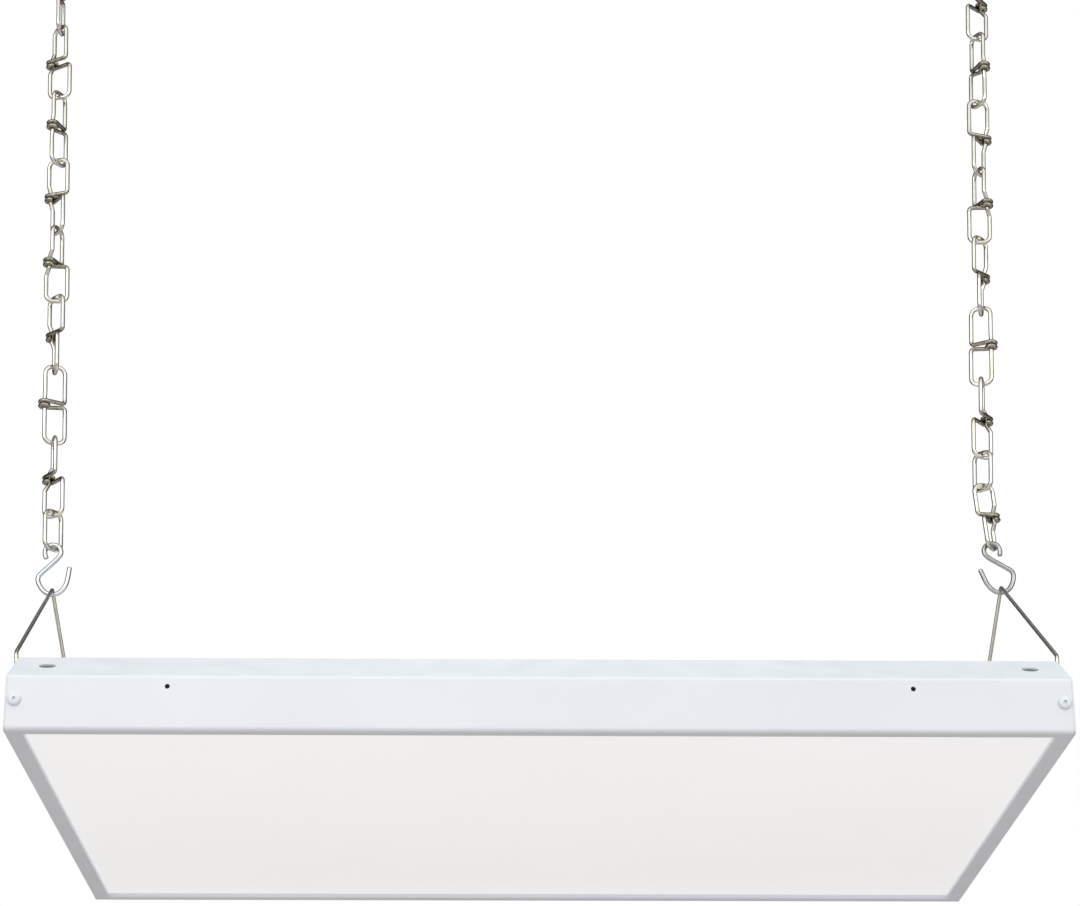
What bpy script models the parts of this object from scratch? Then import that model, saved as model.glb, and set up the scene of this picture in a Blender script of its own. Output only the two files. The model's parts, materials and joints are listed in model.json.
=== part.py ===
"""A hanging grow lamp: a shallow white sheet-steel hood with an opal diffuser, held at each end by a
wire hanger, an S-hook and a double-loop chain that goes up to a screw hook in the ceiling.

X runs along the lamp, Y from its front to its back, Z up. The origin is on the ceiling, over the
lamp's middle. Inside the lamp, heights are counted up from its lower face.
"""

import math

import bmesh
import bpy
from mathutils import Matrix, Vector

MM = 0.001
GAP = 0.3 * MM

LEFT = -1
RIGHT = 1
SIDE_NAMES = {LEFT: "left", RIGHT: "right"}

# Hood
LENGTH = 610 * MM
DEPTH = 450 * MM
FACE_HEIGHT = 32 * MM
SHOULDER_RISE = 23.5 * MM
SHOULDER_RUN = 42 * MM
SHEET = 1.0 * MM
BEND = 2.5 * MM
LIP = 10 * MM
LIP_RETURN = 2.8 * MM
LIP_BEND = 1.1 * MM
HEIGHT = FACE_HEIGHT + SHOULDER_RISE
TAB = 12 * MM
TAB_RISE = 22 * MM
TOP_TAB_LENGTH = 300 * MM

# Holes and screws of the hood. A head is its rim's radius, its crown's radius and its height.
SCREW_INSET = 5.5 * MM
SCREW_HEIGHT = 18 * MM
SCREW_RADIUS = 1.6 * MM
SCREW_LENGTH = 8 * MM
SCREW_HEAD = (3.7 * MM, 2.4 * MM, 2.1 * MM)
SOCKET_RADIUS = 1.15 * MM
SOCKET_DEPTH = 1.3 * MM
SMALL_HEAD = (3.0 * MM, 2.2 * MM, 1.8 * MM)
SMALL_HOLE_X = 213 * MM
SMALL_HOLE_HEIGHT = 26 * MM
SMALL_HOLE_RADIUS = 1.45 * MM
SHOULDER_HOLE_X = 285 * MM
SHOULDER_HOLE_RADIUS = 5 * MM
SHOULDER_HOLE_SHARE = 0.53

# Light engine
DIFFUSER_THICKNESS = 2.5 * MM
TRAY_HEIGHT = 29 * MM
TRAY_HALF_LENGTH = 289 * MM
TRAY_SHEET = 0.8 * MM
TRAY_RIM = 10 * MM
TRAY_SLOPE = 16 * MM
BOARD_SIZE = (560 * MM, 22 * MM, 1.5 * MM)
BOARD_COUNT = 5
BOARD_SPACING = 76 * MM
LEDS_PER_BOARD = 14
LED_SIDE = 5 * MM
DRIVER_SIZE = (230 * MM, 46 * MM, 20 * MM)
DRIVER_X = 135 * MM
DRIVER_Y = 40 * MM
DRIVER_FOOT = 13 * MM
DRIVER_FOOT_THICKNESS = 1.2 * MM
DRIVER_SCREW_LENGTH = 6 * MM
STANDOFF_X = 240 * MM
STANDOFF_Y = 114 * MM
GROUND_PLACE = (200 * MM, 60 * MM)
GROUND_HEAD = (4 * MM, 4 * MM, 3 * MM)
BLOCK_SIZE = (30 * MM, 16 * MM, 13 * MM)
LEAD_RADIUS = 1.3 * MM

# The cord's gland
GLAND_X = 262 * MM
GLAND_RADIUS = 8 * MM
GLAND_BORE = 4 * MM
GLAND_FLANGE = (12 * MM, 5 * MM)
GLAND_DOME = (10 * MM, 7 * MM, 8 * MM)
GLAND_LENGTH = 22 * MM
GLAND_NUT = (11.5 * MM, 4 * MM)

# Hangers
HANGER_RADIUS = 1.2 * MM
HANGER_OUTSIDE = 2 * MM
FOOT_HEIGHT = 44 * MM
FOOT_FROM_EDGE = 52.5 * MM
FOOT_RISE = 18 * MM
FOOT_INWARD = 9 * MM
FOOT_HOLE_RADIUS = 2.2 * MM
APEX_RISE = {LEFT: 112.7 * MM, RIGHT: 116.7 * MM}
HANGER_LEAN = {LEFT: math.radians(4.05), RIGHT: math.radians(0.3)}  # outwards
APEX_BEND = 2.4 * MM
LEG_BEND = 4 * MM
FOOT_BEND = 1.6 * MM

# S-hooks
S_RADIUS = 1.55 * MM
S_HEIGHT = 34.4 * MM
S_BOWL = 8 * MM  # the lower curve's radius at its lowest point
S_EYE = 5.8 * MM  # the upper curve's radius at its highest point
S_LEAN = {LEFT: math.radians(2.32), RIGHT: math.radians(-12)}

# Chain
WIRE = 1.45 * MM
LINK_HALF_WIDTH = 7.05 * MM
LINK_CORNER = 5.0 * MM
LINK_PITCH = 51.5 * MM
TOP_PITCH = 52.5 * MM
RING_PITCH = 23.3 * MM
SHORT_PITCH = 41.2 * MM
FIRST_PITCH = {LEFT: RING_PITCH, RIGHT: SHORT_PITCH}
FIRST_LEAN = {LEFT: math.radians(2.32), RIGHT: math.radians(-5)}
CHAIN_LEAN = {LEFT: math.radians(2.32), RIGHT: math.radians(2.4)}
NESTING = 2 * WIRE + GAP
KNOT_LEG = 5 * MM
KNOT_BEND = 2.2 * MM
WINDING = math.radians(230)

# Ceiling hooks
HOOK_RADIUS = 2.0 * MM
HOOK_BOWL = 10 * MM
HOOK_DROP = 36 * MM
HOOK_SCREW = 22 * MM
COLLAR_RADIUS = 7.5 * MM
COLLAR_THICKNESS = 2 * MM
HOOK_SWEEP = (math.radians(62), math.radians(-210))

# The turn of each link's upper and lower loop about the chain, in degrees, from the lamp upwards.
# A ring has one loop and so one turn.
LEFT_TURNS = (
    (50,),
    (-76, -26),
    (26, 23),
    (-45, -75),
    (70, 8),
    (-19, -53),
    (63, 56),
    (-48, -13),
)
RIGHT_TURNS = (
    (-20, -61),
    (50,),
    (-76, -26),
    (26, 23),
    (-45, -75),
    (70, 8),
    (-19, -53),
    (63, 56),
)
LEFT_TOP_TURNS = (80, 84)
RIGHT_TOP_TURNS = (-82, -13)

def clear_scene():
    for old in list(bpy.data.objects):
        bpy.data.objects.remove(old)


def new_collection(name):
    made = bpy.data.collections.new(name)
    bpy.context.scene.collection.children.link(made)
    return made


clear_scene()
LAMP_PARTS = new_collection("grow_lamp")
CUTTERS = new_collection("cutters")
CUTTERS.hide_render = True


def material(name, colour, roughness, metallic=0.0):
    made = bpy.data.materials.new(name)
    made.use_nodes = True
    shader = made.node_tree.nodes["Principled BSDF"]
    shader.inputs["Base Color"].default_value = (*colour, 1)
    shader.inputs["Roughness"].default_value = roughness
    shader.inputs["Metallic"].default_value = metallic
    return made


WHITE = material("white_powder_coat", (0.84, 0.86, 0.88), 0.35)
TRAY_WHITE = material("reflector_white", (0.9, 0.9, 0.9), 0.3)
OPAL = material("opal_acrylic", (0.93, 0.93, 0.93), 0.45)
CHAIN_STEEL = material("zinc_plated_chain", (0.62, 0.6, 0.52), 0.3, 1.0)
HOOK_STEEL = material("zinc_plated_hook", (0.72, 0.75, 0.77), 0.22, 1.0)
HANGER_STEEL = material("hanger_wire", (0.5, 0.45, 0.4), 0.35, 1.0)
BOARD = material("led_board", (0.88, 0.88, 0.86), 0.4)
ALUMINIUM = material("driver_case", (0.75, 0.76, 0.77), 0.4, 1.0)
BRASS = material("ground_brass", (0.75, 0.6, 0.3), 0.35, 1.0)
NYLON = material("black_nylon", (0.03, 0.03, 0.03), 0.5)
BLOCK = material("terminal_nylon", (0.8, 0.78, 0.7), 0.5)
LEAD = material("lead_insulation", (0.7, 0.05, 0.04), 0.45)


def empty_at(name, place, parent=None):
    """An empty on a joint axis, which carries what moves about it."""
    made = bpy.data.objects.new(name, None)
    made.empty_display_size = 20 * MM
    LAMP_PARTS.objects.link(made)
    made.parent = parent
    made.location = Vector(place) - (parent.matrix_world.translation if parent else Vector())
    bpy.context.view_layer.update()
    return made


def place_in(obj, look, parent, place, turn=Matrix()):
    """Puts an object at a world place under its parent empty."""
    obj.data.materials.append(look)
    LAMP_PARTS.objects.link(obj)
    obj.parent = parent
    obj.location = Vector(place) - parent.matrix_world.translation
    obj.rotation_euler = turn.to_euler()
    return obj


def smooth(mesh, angle=35):
    mesh.shade_smooth()
    mesh.set_sharp_from_angle(angle=math.radians(angle))


def mesh_of(name, shape):
    mesh = bpy.data.meshes.new(name)
    shape.to_mesh(mesh)
    shape.free()
    return mesh


def box_mesh(name, size, centre=(0, 0, 0)):
    shape = bmesh.new()
    bmesh.ops.create_cube(shape, size=1, matrix=Matrix.Translation(centre) @ Matrix.Diagonal((*size, 1)))
    return mesh_of(name, shape)


def rod_mesh(name, radius, length, axis, centre=(0, 0, 0), sides=20, end_radius=None):
    """A cylinder, or a cone where its upper end has another radius, along axis."""
    turn = Vector((0, 0, 1)).rotation_difference(Vector(axis)).to_matrix().to_4x4()
    shape = bmesh.new()
    bmesh.ops.create_cone(
        shape,
        cap_ends=True,
        segments=sides,
        radius1=radius,
        radius2=radius if end_radius is None else end_radius,
        depth=length,
        matrix=Matrix.Translation(centre) @ turn,
    )
    mesh = mesh_of(name, shape)
    smooth(mesh)
    return mesh


def tool(name, mesh, place=(0, 0, 0)):
    """A hidden solid for a Boolean."""
    made = bpy.data.objects.new(name, mesh)
    made.display_type = "WIRE"
    made.hide_render = True
    made.location = place
    CUTTERS.objects.link(made)
    return made


def boolean(obj, other, operation):
    made = obj.modifiers.new(f"{operation.lower()}_{other.name}", "BOOLEAN")
    made.operation = operation
    made.object = other


def cut(obj, other):
    boolean(obj, other, "DIFFERENCE")


def join(obj, other):
    boolean(obj, other, "UNION")


def add_bevel(obj, width):
    made = obj.modifiers.new("rounded_edges", "BEVEL")
    made.width = width
    made.limit_method = "ANGLE"


def rounded(corners, radii, steps=2):
    """The corners of an open line, each inner corner made an arc. radii is one radius, or one for each."""
    corners = [Vector(corner) for corner in corners]
    if not isinstance(radii, tuple):
        radii = (radii,) * (len(corners) - 2)
    line = [corners[0]]
    for before, corner, after, radius in zip(corners, corners[1:], corners[2:], radii):
        back = (before - corner).normalized()
        onward = (after - corner).normalized()
        half = back.angle(onward) / 2
        reach = radius / math.tan(half)
        centre = corner + (back + onward).normalized() * radius / math.sin(half)
        start = corner + back * reach - centre
        end = corner + onward * reach - centre
        sweep = start.angle(end)
        for step in range(steps + 1):
            share = step / steps
            weight_a = math.sin((1 - share) * sweep) / math.sin(sweep)
            weight_b = math.sin(share * sweep) / math.sin(sweep)
            line.append(centre + start * weight_a + end * weight_b)
    return [*line, corners[-1]]


def folded_sheet(name, section, direction, half_length, thickness, side):
    """A sheet folded to a section line, run along direction and thickened to one side, 1 or -1."""
    shape = bmesh.new()
    run = Vector(direction) * half_length
    near = [shape.verts.new(point - run) for point in section]
    far = [shape.verts.new(point + run) for point in section]
    for i in range(len(section) - 1):
        shape.faces.new((near[i], near[i + 1], far[i + 1], far[i]))
    mesh = mesh_of(name, shape)
    obj = bpy.data.objects.new(name, mesh)
    solid = obj.modifiers.new("thickness", "SOLIDIFY")
    solid.thickness = thickness
    solid.offset = side
    solid.use_even_offset = True
    return obj


def tube(name, points, radius, sides_level=2, ring=False):
    """A round wire along the points."""
    curve = bpy.data.curves.new(name, "CURVE")
    curve.dimensions = "3D"
    curve.bevel_depth = radius
    curve.bevel_resolution = sides_level
    curve.use_fill_caps = not ring
    spline = curve.splines.new("POLY")
    spline.points.add(len(points) - 1)
    for target, point in zip(spline.points, points):
        target.co = (*point, 1)
    spline.use_cyclic_u = ring
    return bpy.data.objects.new(name, curve)


def through(points, steps):
    """A smooth line through the points (Catmull-Rom), with this many steps between each two."""
    points = [Vector(point) for point in points]
    padded = [2 * points[0] - points[1], *points, 2 * points[-1] - points[-2]]
    line = []
    for a, b, c, d in zip(padded, padded[1:], padded[2:], padded[3:]):
        for step in range(steps):
            t = step / steps
            line.append(
                b
                + (c - a) * t / 2
                + (2 * a - 5 * b + 4 * c - d) * t**2 / 2
                + (3 * b - 3 * c + d - a) * t**3 / 2
            )
    return [*line, points[-1]]


# ---------------------------------------------------------------- places along the hanging lines

# Distances up the chain, from its lower pivot in the S-hook's upper bowl. Its first link leans by itself.
CHAIN_START = -(WIRE + GAP / 2)
PIVOT_IN_EYE = S_EYE - S_RADIUS - GAP / 2
LEFT_RUN = RING_PITCH + 7 * LINK_PITCH
LINKS_TO_HOOK = TOP_PITCH + NESTING - WIRE - HOOK_RADIUS - GAP
FIRST_TOP = {side: CHAIN_START + FIRST_PITCH[side] + NESTING / 2 for side in SIDE_NAMES}


def up_from(side, place, lean, rise):
    """The point this far above a place, on a line that leans outwards."""
    return place + Vector((side * rise * math.sin(lean), 0, rise * math.cos(lean)))


def places_above_hood(side):
    """The hanger's feet, its rest in the S-hook, the S-hook's lowest point and the chain's lower pivot.

    Each round wire rests in the other's curve, so a turned S-hook turns about its curves' centres.
    """
    feet = Vector((side * (LENGTH / 2 + HANGER_OUTSIDE), 0, FOOT_HEIGHT))
    rest = up_from(side, feet, HANGER_LEAN[side], APEX_RISE[side] - HANGER_RADIUS - S_RADIUS - GAP)
    bowl_centre = up_from(side, rest, HANGER_LEAN[side], S_BOWL)
    s_hook = up_from(side, bowl_centre, S_LEAN[side], -S_BOWL)
    eye_centre = up_from(side, s_hook, S_LEAN[side], S_HEIGHT - S_EYE)
    return feet, rest, s_hook, up_from(side, eye_centre, FIRST_LEAN[side], PIVOT_IN_EYE)


def first_top_height(side):
    return up_from(side, places_above_hood(side)[-1], FIRST_LEAN[side], FIRST_TOP[side]).z


LEFT_TO_HOOK = CHAIN_START + LEFT_RUN + LINKS_TO_HOOK
HOOK_HEIGHT = first_top_height(LEFT) + (LEFT_TO_HOOK - FIRST_TOP[LEFT]) * math.cos(CHAIN_LEAN[LEFT])
RIGHT_TO_HOOK = FIRST_TOP[RIGHT] + (HOOK_HEIGHT - first_top_height(RIGHT)) / math.cos(CHAIN_LEAN[RIGHT])
RIGHT_RUN = RIGHT_TO_HOOK - LINKS_TO_HOOK - CHAIN_START
RIGHT_LINK_PITCH = (RIGHT_RUN - RING_PITCH - SHORT_PITCH) / 6
TO_HOOK = {LEFT: LEFT_TO_HOOK, RIGHT: RIGHT_TO_HOOK}
CHAIN_RUN = {LEFT: LEFT_RUN, RIGHT: RIGHT_RUN}

LAMP_BOTTOM = -HOOK_DROP - HOOK_HEIGHT
FEET = {}
RESTS = {}
S_PLACES = {}
CHAIN_ENDS = {}
for line_side in SIDE_NAMES:
    lifted = [place + Vector((0, 0, LAMP_BOTTOM)) for place in places_above_hood(line_side)]
    FEET[line_side], RESTS[line_side], S_PLACES[line_side], CHAIN_ENDS[line_side] = lifted


def on_chain(side, rise):
    """The world point this far up one chain."""
    first = min(rise, FIRST_TOP[side])
    point = up_from(side, CHAIN_ENDS[side], FIRST_LEAN[side], first)
    return up_from(side, point, CHAIN_LEAN[side], rise - first)


def leaning(side, lean):
    return Matrix.Rotation(side * lean[side], 4, "Y")


def lamp_point(x, y, height):
    return Vector((x, y, LAMP_BOTTOM + height))


# ---------------------------------------------------------------- what carries what

ROOT = empty_at("ceiling", (0, 0, 0))
TOP_PIVOTS = {}
SIDE_PIVOTS = {}
S_PIVOTS = {}
for line_side, line_name in SIDE_NAMES.items():
    chain_top = CHAIN_START + CHAIN_RUN[line_side] + NESTING / 2
    top_place = on_chain(line_side, TO_HOOK[line_side])
    TOP_PIVOTS[line_side] = empty_at(f"top_link_pivot_{line_name}", top_place, ROOT)
    side_place = on_chain(line_side, chain_top)
    SIDE_PIVOTS[line_side] = empty_at(f"chain_pivot_{line_name}", side_place, TOP_PIVOTS[line_side])
    pivot_name = f"s_hook_pivot_{line_name}"
    S_PIVOTS[line_side] = empty_at(pivot_name, CHAIN_ENDS[line_side], SIDE_PIVOTS[line_side])
LAMP = empty_at("lamp_pivot", RESTS[LEFT], S_PIVOTS[LEFT])


def in_lamp(obj, look):
    return place_in(obj, look, LAMP, lamp_point(0, 0, 0))


# ---------------------------------------------------------------- hood


def hood_outline():
    """The hood's section from front lip to back lip, in Y and height."""
    half = DEPTH / 2
    front = [
        (-half, 0),
        (-half, FACE_HEIGHT),
        (-half + SHOULDER_RUN, HEIGHT),
    ]
    return front + [(-y, z) for y, z in reversed(front)]


def across(points):
    return [Vector((0, y, z)) for y, z in points]


def build_housing():
    half = DEPTH / 2
    front_lip = [(-half + LIP, LIP_RETURN), (-half + LIP, 0)]
    back_lip = [(half - LIP, 0), (half - LIP, LIP_RETURN)]
    corners = across(front_lip + hood_outline() + back_lip)
    section = rounded(corners, (LIP_BEND, *[BEND] * 6, LIP_BEND))
    housing = folded_sheet("housing_shell", section, (1, 0, 0), LENGTH / 2 - SHEET - GAP, SHEET, 1)
    housing = in_lamp(housing, WHITE)
    for side, name in SIDE_NAMES.items():
        for facing, where in ((-1, "front"), (1, "back")):
            y = facing * half
            hole = rod_mesh("screw_hole", SCREW_RADIUS + GAP, 12 * MM, (0, 1, 0), sides=12)
            spot = lamp_point(side * (LENGTH / 2 - SCREW_INSET), y, SCREW_HEIGHT)
            cut(housing, tool(f"screw_hole_{where}_{name}", hole, spot))
            hole = rod_mesh("small_hole", SMALL_HOLE_RADIUS, 8 * MM, (0, 1, 0), sides=12)
            spot = lamp_point(side * SMALL_HOLE_X, y, SMALL_HOLE_HEIGHT)
            cut(housing, tool(f"small_hole_{where}_{name}", hole, spot))
            normal = Vector((0, facing * SHOULDER_RISE, SHOULDER_RUN)).normalized()
            hole = rod_mesh("shoulder_hole", SHOULDER_HOLE_RADIUS, 12 * MM, normal, sides=16)
            middle_y = facing * (half - SHOULDER_RUN * SHOULDER_HOLE_SHARE)
            middle_height = FACE_HEIGHT + SHOULDER_RISE * SHOULDER_HOLE_SHARE
            spot = lamp_point(side * SHOULDER_HOLE_X, middle_y, middle_height)
            cut(housing, tool(f"shoulder_hole_{where}_{name}", hole, spot))
    hole = rod_mesh("gland_hole", GLAND_RADIUS + GAP, 8 * MM, (0, 0, 1), sides=16)
    cut(housing, tool("gland_hole", hole, lamp_point(GLAND_X, 0, HEIGHT)))


def outline_plate(name, outline, x_low, x_high):
    """A flat plate with this outline in Y and height, between two X."""
    shape = bmesh.new()
    base = [shape.verts.new((x_low, point.y, point.z)) for point in outline]
    face = shape.faces.new(base)
    raised = bmesh.ops.extrude_face_region(shape, geom=[face])
    moved = [item for item in raised["geom"] if isinstance(item, bmesh.types.BMVert)]
    bmesh.ops.translate(shape, verts=moved, vec=(x_high - x_low, 0, 0))
    bmesh.ops.recalc_face_normals(shape, faces=shape.faces)
    return mesh_of(name, shape)


def build_end_cap(side, name):
    half = DEPTH / 2
    outer = side * LENGTH / 2
    inner = side * (LENGTH / 2 - SHEET)
    bottom_middle = Vector((0, 0, 0))
    outline = rounded([bottom_middle, *across(hood_outline()), bottom_middle], BEND)[1:-1]
    plate = outline_plate(f"end_cap_{name}", outline, min(outer, inner), max(outer, inner))
    cap = in_lamp(bpy.data.objects.new(f"end_cap_{name}", plate), WHITE)
    lip_corners = [
        Vector((outer - side * SHEET / 2, 0, 0)),
        Vector((outer - side * LIP, 0, 0)),
        Vector((outer - side * LIP, 0, LIP_RETURN)),
    ]
    section = rounded(lip_corners, LIP_BEND)
    lip = folded_sheet(f"end_lip_{name}", section, (0, 1, 0), half - LIP - GAP, SHEET, -side)
    lip.display_type = "WIRE"
    lip.hide_render = True
    lip.location = lamp_point(0, 0, 0)
    CUTTERS.objects.link(lip)
    join(cap, lip)
    tab_x = side * (LENGTH / 2 - SHEET / 2 - TAB / 2)
    for facing, where in ((-1, "front"), (1, "back")):
        y = facing * (half - SHEET - GAP - SHEET / 2)
        tab = box_mesh("end_tab", (TAB + SHEET * 0.8, SHEET, TAB_RISE))
        join(cap, tool(f"end_tab_{where}_{name}", tab, lamp_point(tab_x, y, SCREW_HEIGHT - 1 * MM)))
        hole = rod_mesh("tab_hole", SCREW_RADIUS + GAP, 8 * MM, (0, 1, 0), sides=12)
        spot = lamp_point(side * (LENGTH / 2 - SCREW_INSET), y, SCREW_HEIGHT)
        cut(cap, tool(f"tab_hole_{where}_{name}", hole, spot))
        hole = rod_mesh("foot_hole", FOOT_HOLE_RADIUS, 8 * MM, (1, 0, 0), sides=12)
        spot = lamp_point(side * LENGTH / 2, facing * (half - FOOT_FROM_EDGE), FOOT_HEIGHT)
        cut(cap, tool(f"foot_hole_{where}_{name}", hole, spot))
    top_tab = box_mesh("top_tab", (TAB + SHEET * 0.8, TOP_TAB_LENGTH, SHEET))
    height = HEIGHT - SHEET - GAP - SHEET / 2
    join(cap, tool(f"top_tab_{name}", top_tab, lamp_point(tab_x, 0, height)))


def build_screw(name, look, place, axis, head, shank_length, head_sides=16):
    """A screw with its head just outside place along axis, and its shank going in."""
    rim, crown, height = head
    out = Vector(axis)
    head_middle = out * (GAP + height / 2)
    head_mesh = rod_mesh(name, rim, height, axis, head_middle, head_sides, crown)
    screw = place_in(bpy.data.objects.new(name, head_mesh), look, LAMP, place)
    shank = rod_mesh("shank", SCREW_RADIUS, shank_length, axis, head_middle - out * shank_length / 2, sides=10)
    join(screw, tool(f"{name}_shank", shank, place))
    return screw


def build_end_screws():
    for side, name in SIDE_NAMES.items():
        for facing, where in ((-1, "front"), (1, "back")):
            out = Vector((0, facing, 0))
            place = lamp_point(side * (LENGTH / 2 - SCREW_INSET), facing * DEPTH / 2, SCREW_HEIGHT)
            screw = build_screw(f"end_screw_{where}_{name}", WHITE, place, out, SCREW_HEAD, SCREW_LENGTH)
            top = out * (GAP + SCREW_HEAD[2])
            socket = rod_mesh("socket", SOCKET_RADIUS, 2 * SOCKET_DEPTH, out, top, sides=6)
            cut(screw, tool(f"socket_{where}_{name}", socket, place))


# ---------------------------------------------------------------- light engine


def build_diffuser():
    size = (LENGTH - 2 * SHEET - 2 * MM, DEPTH - 9 * MM, DIFFUSER_THICKNESS)
    centre = (0, 0, LIP_RETURN + GAP + DIFFUSER_THICKNESS / 2)
    in_lamp(bpy.data.objects.new("diffuser", box_mesh("diffuser", size, centre)), OPAL)


def build_tray():
    rim = LIP_RETURN + 2 * GAP + DIFFUSER_THICKNESS
    outer = DEPTH / 2 - 5 * MM
    half = [(-outer, rim), (-outer + TRAY_RIM, rim), (-outer + TRAY_RIM + TRAY_SLOPE, TRAY_HEIGHT)]
    section = rounded(across(half + [(-y, z) for y, z in reversed(half)]), 1.5 * MM)
    tray = folded_sheet("reflector_tray", section, (1, 0, 0), TRAY_HALF_LENGTH, TRAY_SHEET, -1)
    tray = in_lamp(tray, TRAY_WHITE)
    for i, (x, y) in enumerate([*standoff_places(), *driver_screw_places().values(), GROUND_PLACE]):
        hole = rod_mesh("tray_hole", SCREW_RADIUS + GAP, 8 * MM, (0, 0, 1), sides=12)
        cut(tray, tool(f"tray_hole_{i}", hole, lamp_point(x, y, TRAY_HEIGHT)))


def standoff_places():
    return [(x, y) for x in (-STANDOFF_X, STANDOFF_X) for y in (-STANDOFF_Y, STANDOFF_Y)]


def driver_screw_places():
    """Where the screws go down through each driver's two feet, in X and Y."""
    reach = (DRIVER_SIZE[0] + DRIVER_FOOT) / 2
    return {
        f"{name}_{where}": (side * DRIVER_X + end * reach, -side * DRIVER_Y)
        for side, name in SIDE_NAMES.items()
        for end, where in ((-1, "a"), (1, "b"))
    }


def build_standoffs():
    """Four spacers between the tray and the hood's top, each with its screw from below."""
    low = TRAY_HEIGHT + TRAY_SHEET + GAP
    high = HEIGHT - SHEET - GAP
    for i, (x, y) in enumerate(standoff_places()):
        post = rod_mesh("standoff", 4 * MM, high - low, (0, 0, 1), sides=6)
        place = lamp_point(x, y, (low + high) / 2)
        standoff = place_in(bpy.data.objects.new(f"standoff_{i + 1}", post), ALUMINIUM, LAMP, place)
        bore = rod_mesh("standoff_bore", SCREW_RADIUS + GAP, 14 * MM, (0, 0, 1), sides=12)
        cut(standoff, tool(f"standoff_bore_{i}", bore, lamp_point(x, y, low)))
        place = lamp_point(x, y, TRAY_HEIGHT)
        build_screw(f"tray_screw_{i + 1}", HOOK_STEEL, place, (0, 0, -1), SMALL_HEAD, SCREW_LENGTH, 12)


def build_boards():
    """Aluminium-backed strips under the tray, each with a row of square LED packages."""
    length, width, thickness = BOARD_SIZE
    height = TRAY_HEIGHT - GAP - thickness / 2
    pitch = length / LEDS_PER_BOARD
    for row in range(BOARD_COUNT):
        y = (row - (BOARD_COUNT - 1) / 2) * BOARD_SPACING
        name = f"led_board_{row + 1}"
        board = bpy.data.objects.new(name, box_mesh(name, BOARD_SIZE))
        place = lamp_point(0, y, height)
        place_in(board, BOARD, LAMP, place)
        for i in range(LEDS_PER_BOARD):
            x = (i - (LEDS_PER_BOARD - 1) / 2) * pitch
            package = box_mesh("led", (LED_SIDE, LED_SIDE, 1.2 * MM))
            spot = place + Vector((x, 0, -thickness / 2 - 0.2 * MM))
            join(board, tool(f"led_{row}_{i}", package, spot))


def build_drivers():
    """Two LED drivers on the tray, each held by two screws through its feet."""
    base = TRAY_HEIGHT + TRAY_SHEET + GAP
    length, width, height = DRIVER_SIZE
    places = driver_screw_places()
    for side, name in SIDE_NAMES.items():
        place = lamp_point(side * DRIVER_X, -side * DRIVER_Y, base + height / 2)
        driver = bpy.data.objects.new(f"led_driver_{name}", box_mesh("led_driver", DRIVER_SIZE))
        place_in(driver, ALUMINIUM, LAMP, place)
        foot = box_mesh("driver_foot", (length + 2 * DRIVER_FOOT, width - 16 * MM, DRIVER_FOOT_THICKNESS))
        foot_place = place + Vector((0, 0, (DRIVER_FOOT_THICKNESS - height) / 2))
        join(driver, tool(f"driver_foot_{name}", foot, foot_place))
        for which in (f"{name}_a", f"{name}_b"):
            x, y = places[which]
            spot = lamp_point(x, y, base + DRIVER_FOOT_THICKNESS)
            hole = rod_mesh("driver_hole", SCREW_RADIUS + GAP, 6 * MM, (0, 0, 1), sides=12)
            cut(driver, tool(f"driver_hole_{which}", hole, spot))
            build_screw(
                f"driver_screw_{which}", HOOK_STEEL, spot, (0, 0, 1), SMALL_HEAD, DRIVER_SCREW_LENGTH, 12
            )


def build_gland():
    """The cord's gland in the hood's top, with its lock nut inside."""
    place = lamp_point(GLAND_X, 0, HEIGHT)
    flange_radius, flange_height = GLAND_FLANGE
    flange_middle = (0, 0, GAP + flange_height / 2)
    flange = rod_mesh("cord_gland", flange_radius, flange_height, (0, 0, 1), flange_middle, 6)
    gland = place_in(bpy.data.objects.new("cord_gland", flange), NYLON, LAMP, place)
    barrel = rod_mesh("gland_barrel", GLAND_RADIUS, GLAND_LENGTH, (0, 0, 1), sides=16)
    join(gland, tool("gland_barrel", barrel, place))
    low_radius, high_radius, dome_height = GLAND_DOME
    dome_place = (0, 0, GAP + flange_height + dome_height / 2)
    dome = rod_mesh("gland_dome", low_radius, dome_height, (0, 0, 1), dome_place, 16, high_radius)
    join(gland, tool("gland_dome", dome, place))
    bore = rod_mesh("gland_bore", GLAND_BORE, 3 * GLAND_LENGTH, (0, 0, 1), sides=12)
    cut(gland, tool("gland_bore", bore, place))
    nut_radius, nut_height = GLAND_NUT
    nut = rod_mesh("gland_nut", nut_radius, nut_height, (0, 0, 1), sides=6)
    spot = lamp_point(GLAND_X, 0, HEIGHT - SHEET - 2 * GAP - nut_height)
    nut = place_in(bpy.data.objects.new("gland_nut", nut), NYLON, LAMP, spot)
    hole = rod_mesh("gland_nut_hole", GLAND_RADIUS + GAP, 3 * nut_height, (0, 0, 1), sides=16)
    cut(nut, tool("gland_nut_hole", hole, spot))


def build_terminal_block():
    """A block of three terminals on the tray, and the ground screw beside it."""
    floor = TRAY_HEIGHT + TRAY_SHEET + GAP
    length, _, height = BLOCK_SIZE
    place = lamp_point(0, 0, floor + height / 2)
    block = bpy.data.objects.new("terminal_block", box_mesh("block", BLOCK_SIZE))
    block = place_in(block, BLOCK, LAMP, place)
    add_bevel(block, 1 * MM)
    for i in (-1, 0, 1):
        hole = rod_mesh("terminal_hole", 2 * MM, 8 * MM, (0, 0, 1), sides=10)
        spot = place + Vector((i * length * 0.3, 0, height / 2))
        cut(block, tool(f"terminal_hole_{i}", hole, spot))
    spot = lamp_point(*GROUND_PLACE, TRAY_HEIGHT + TRAY_SHEET)
    build_screw("ground_screw", BRASS, spot, (0, 0, 1), GROUND_HEAD, SCREW_LENGTH, 6)


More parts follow.
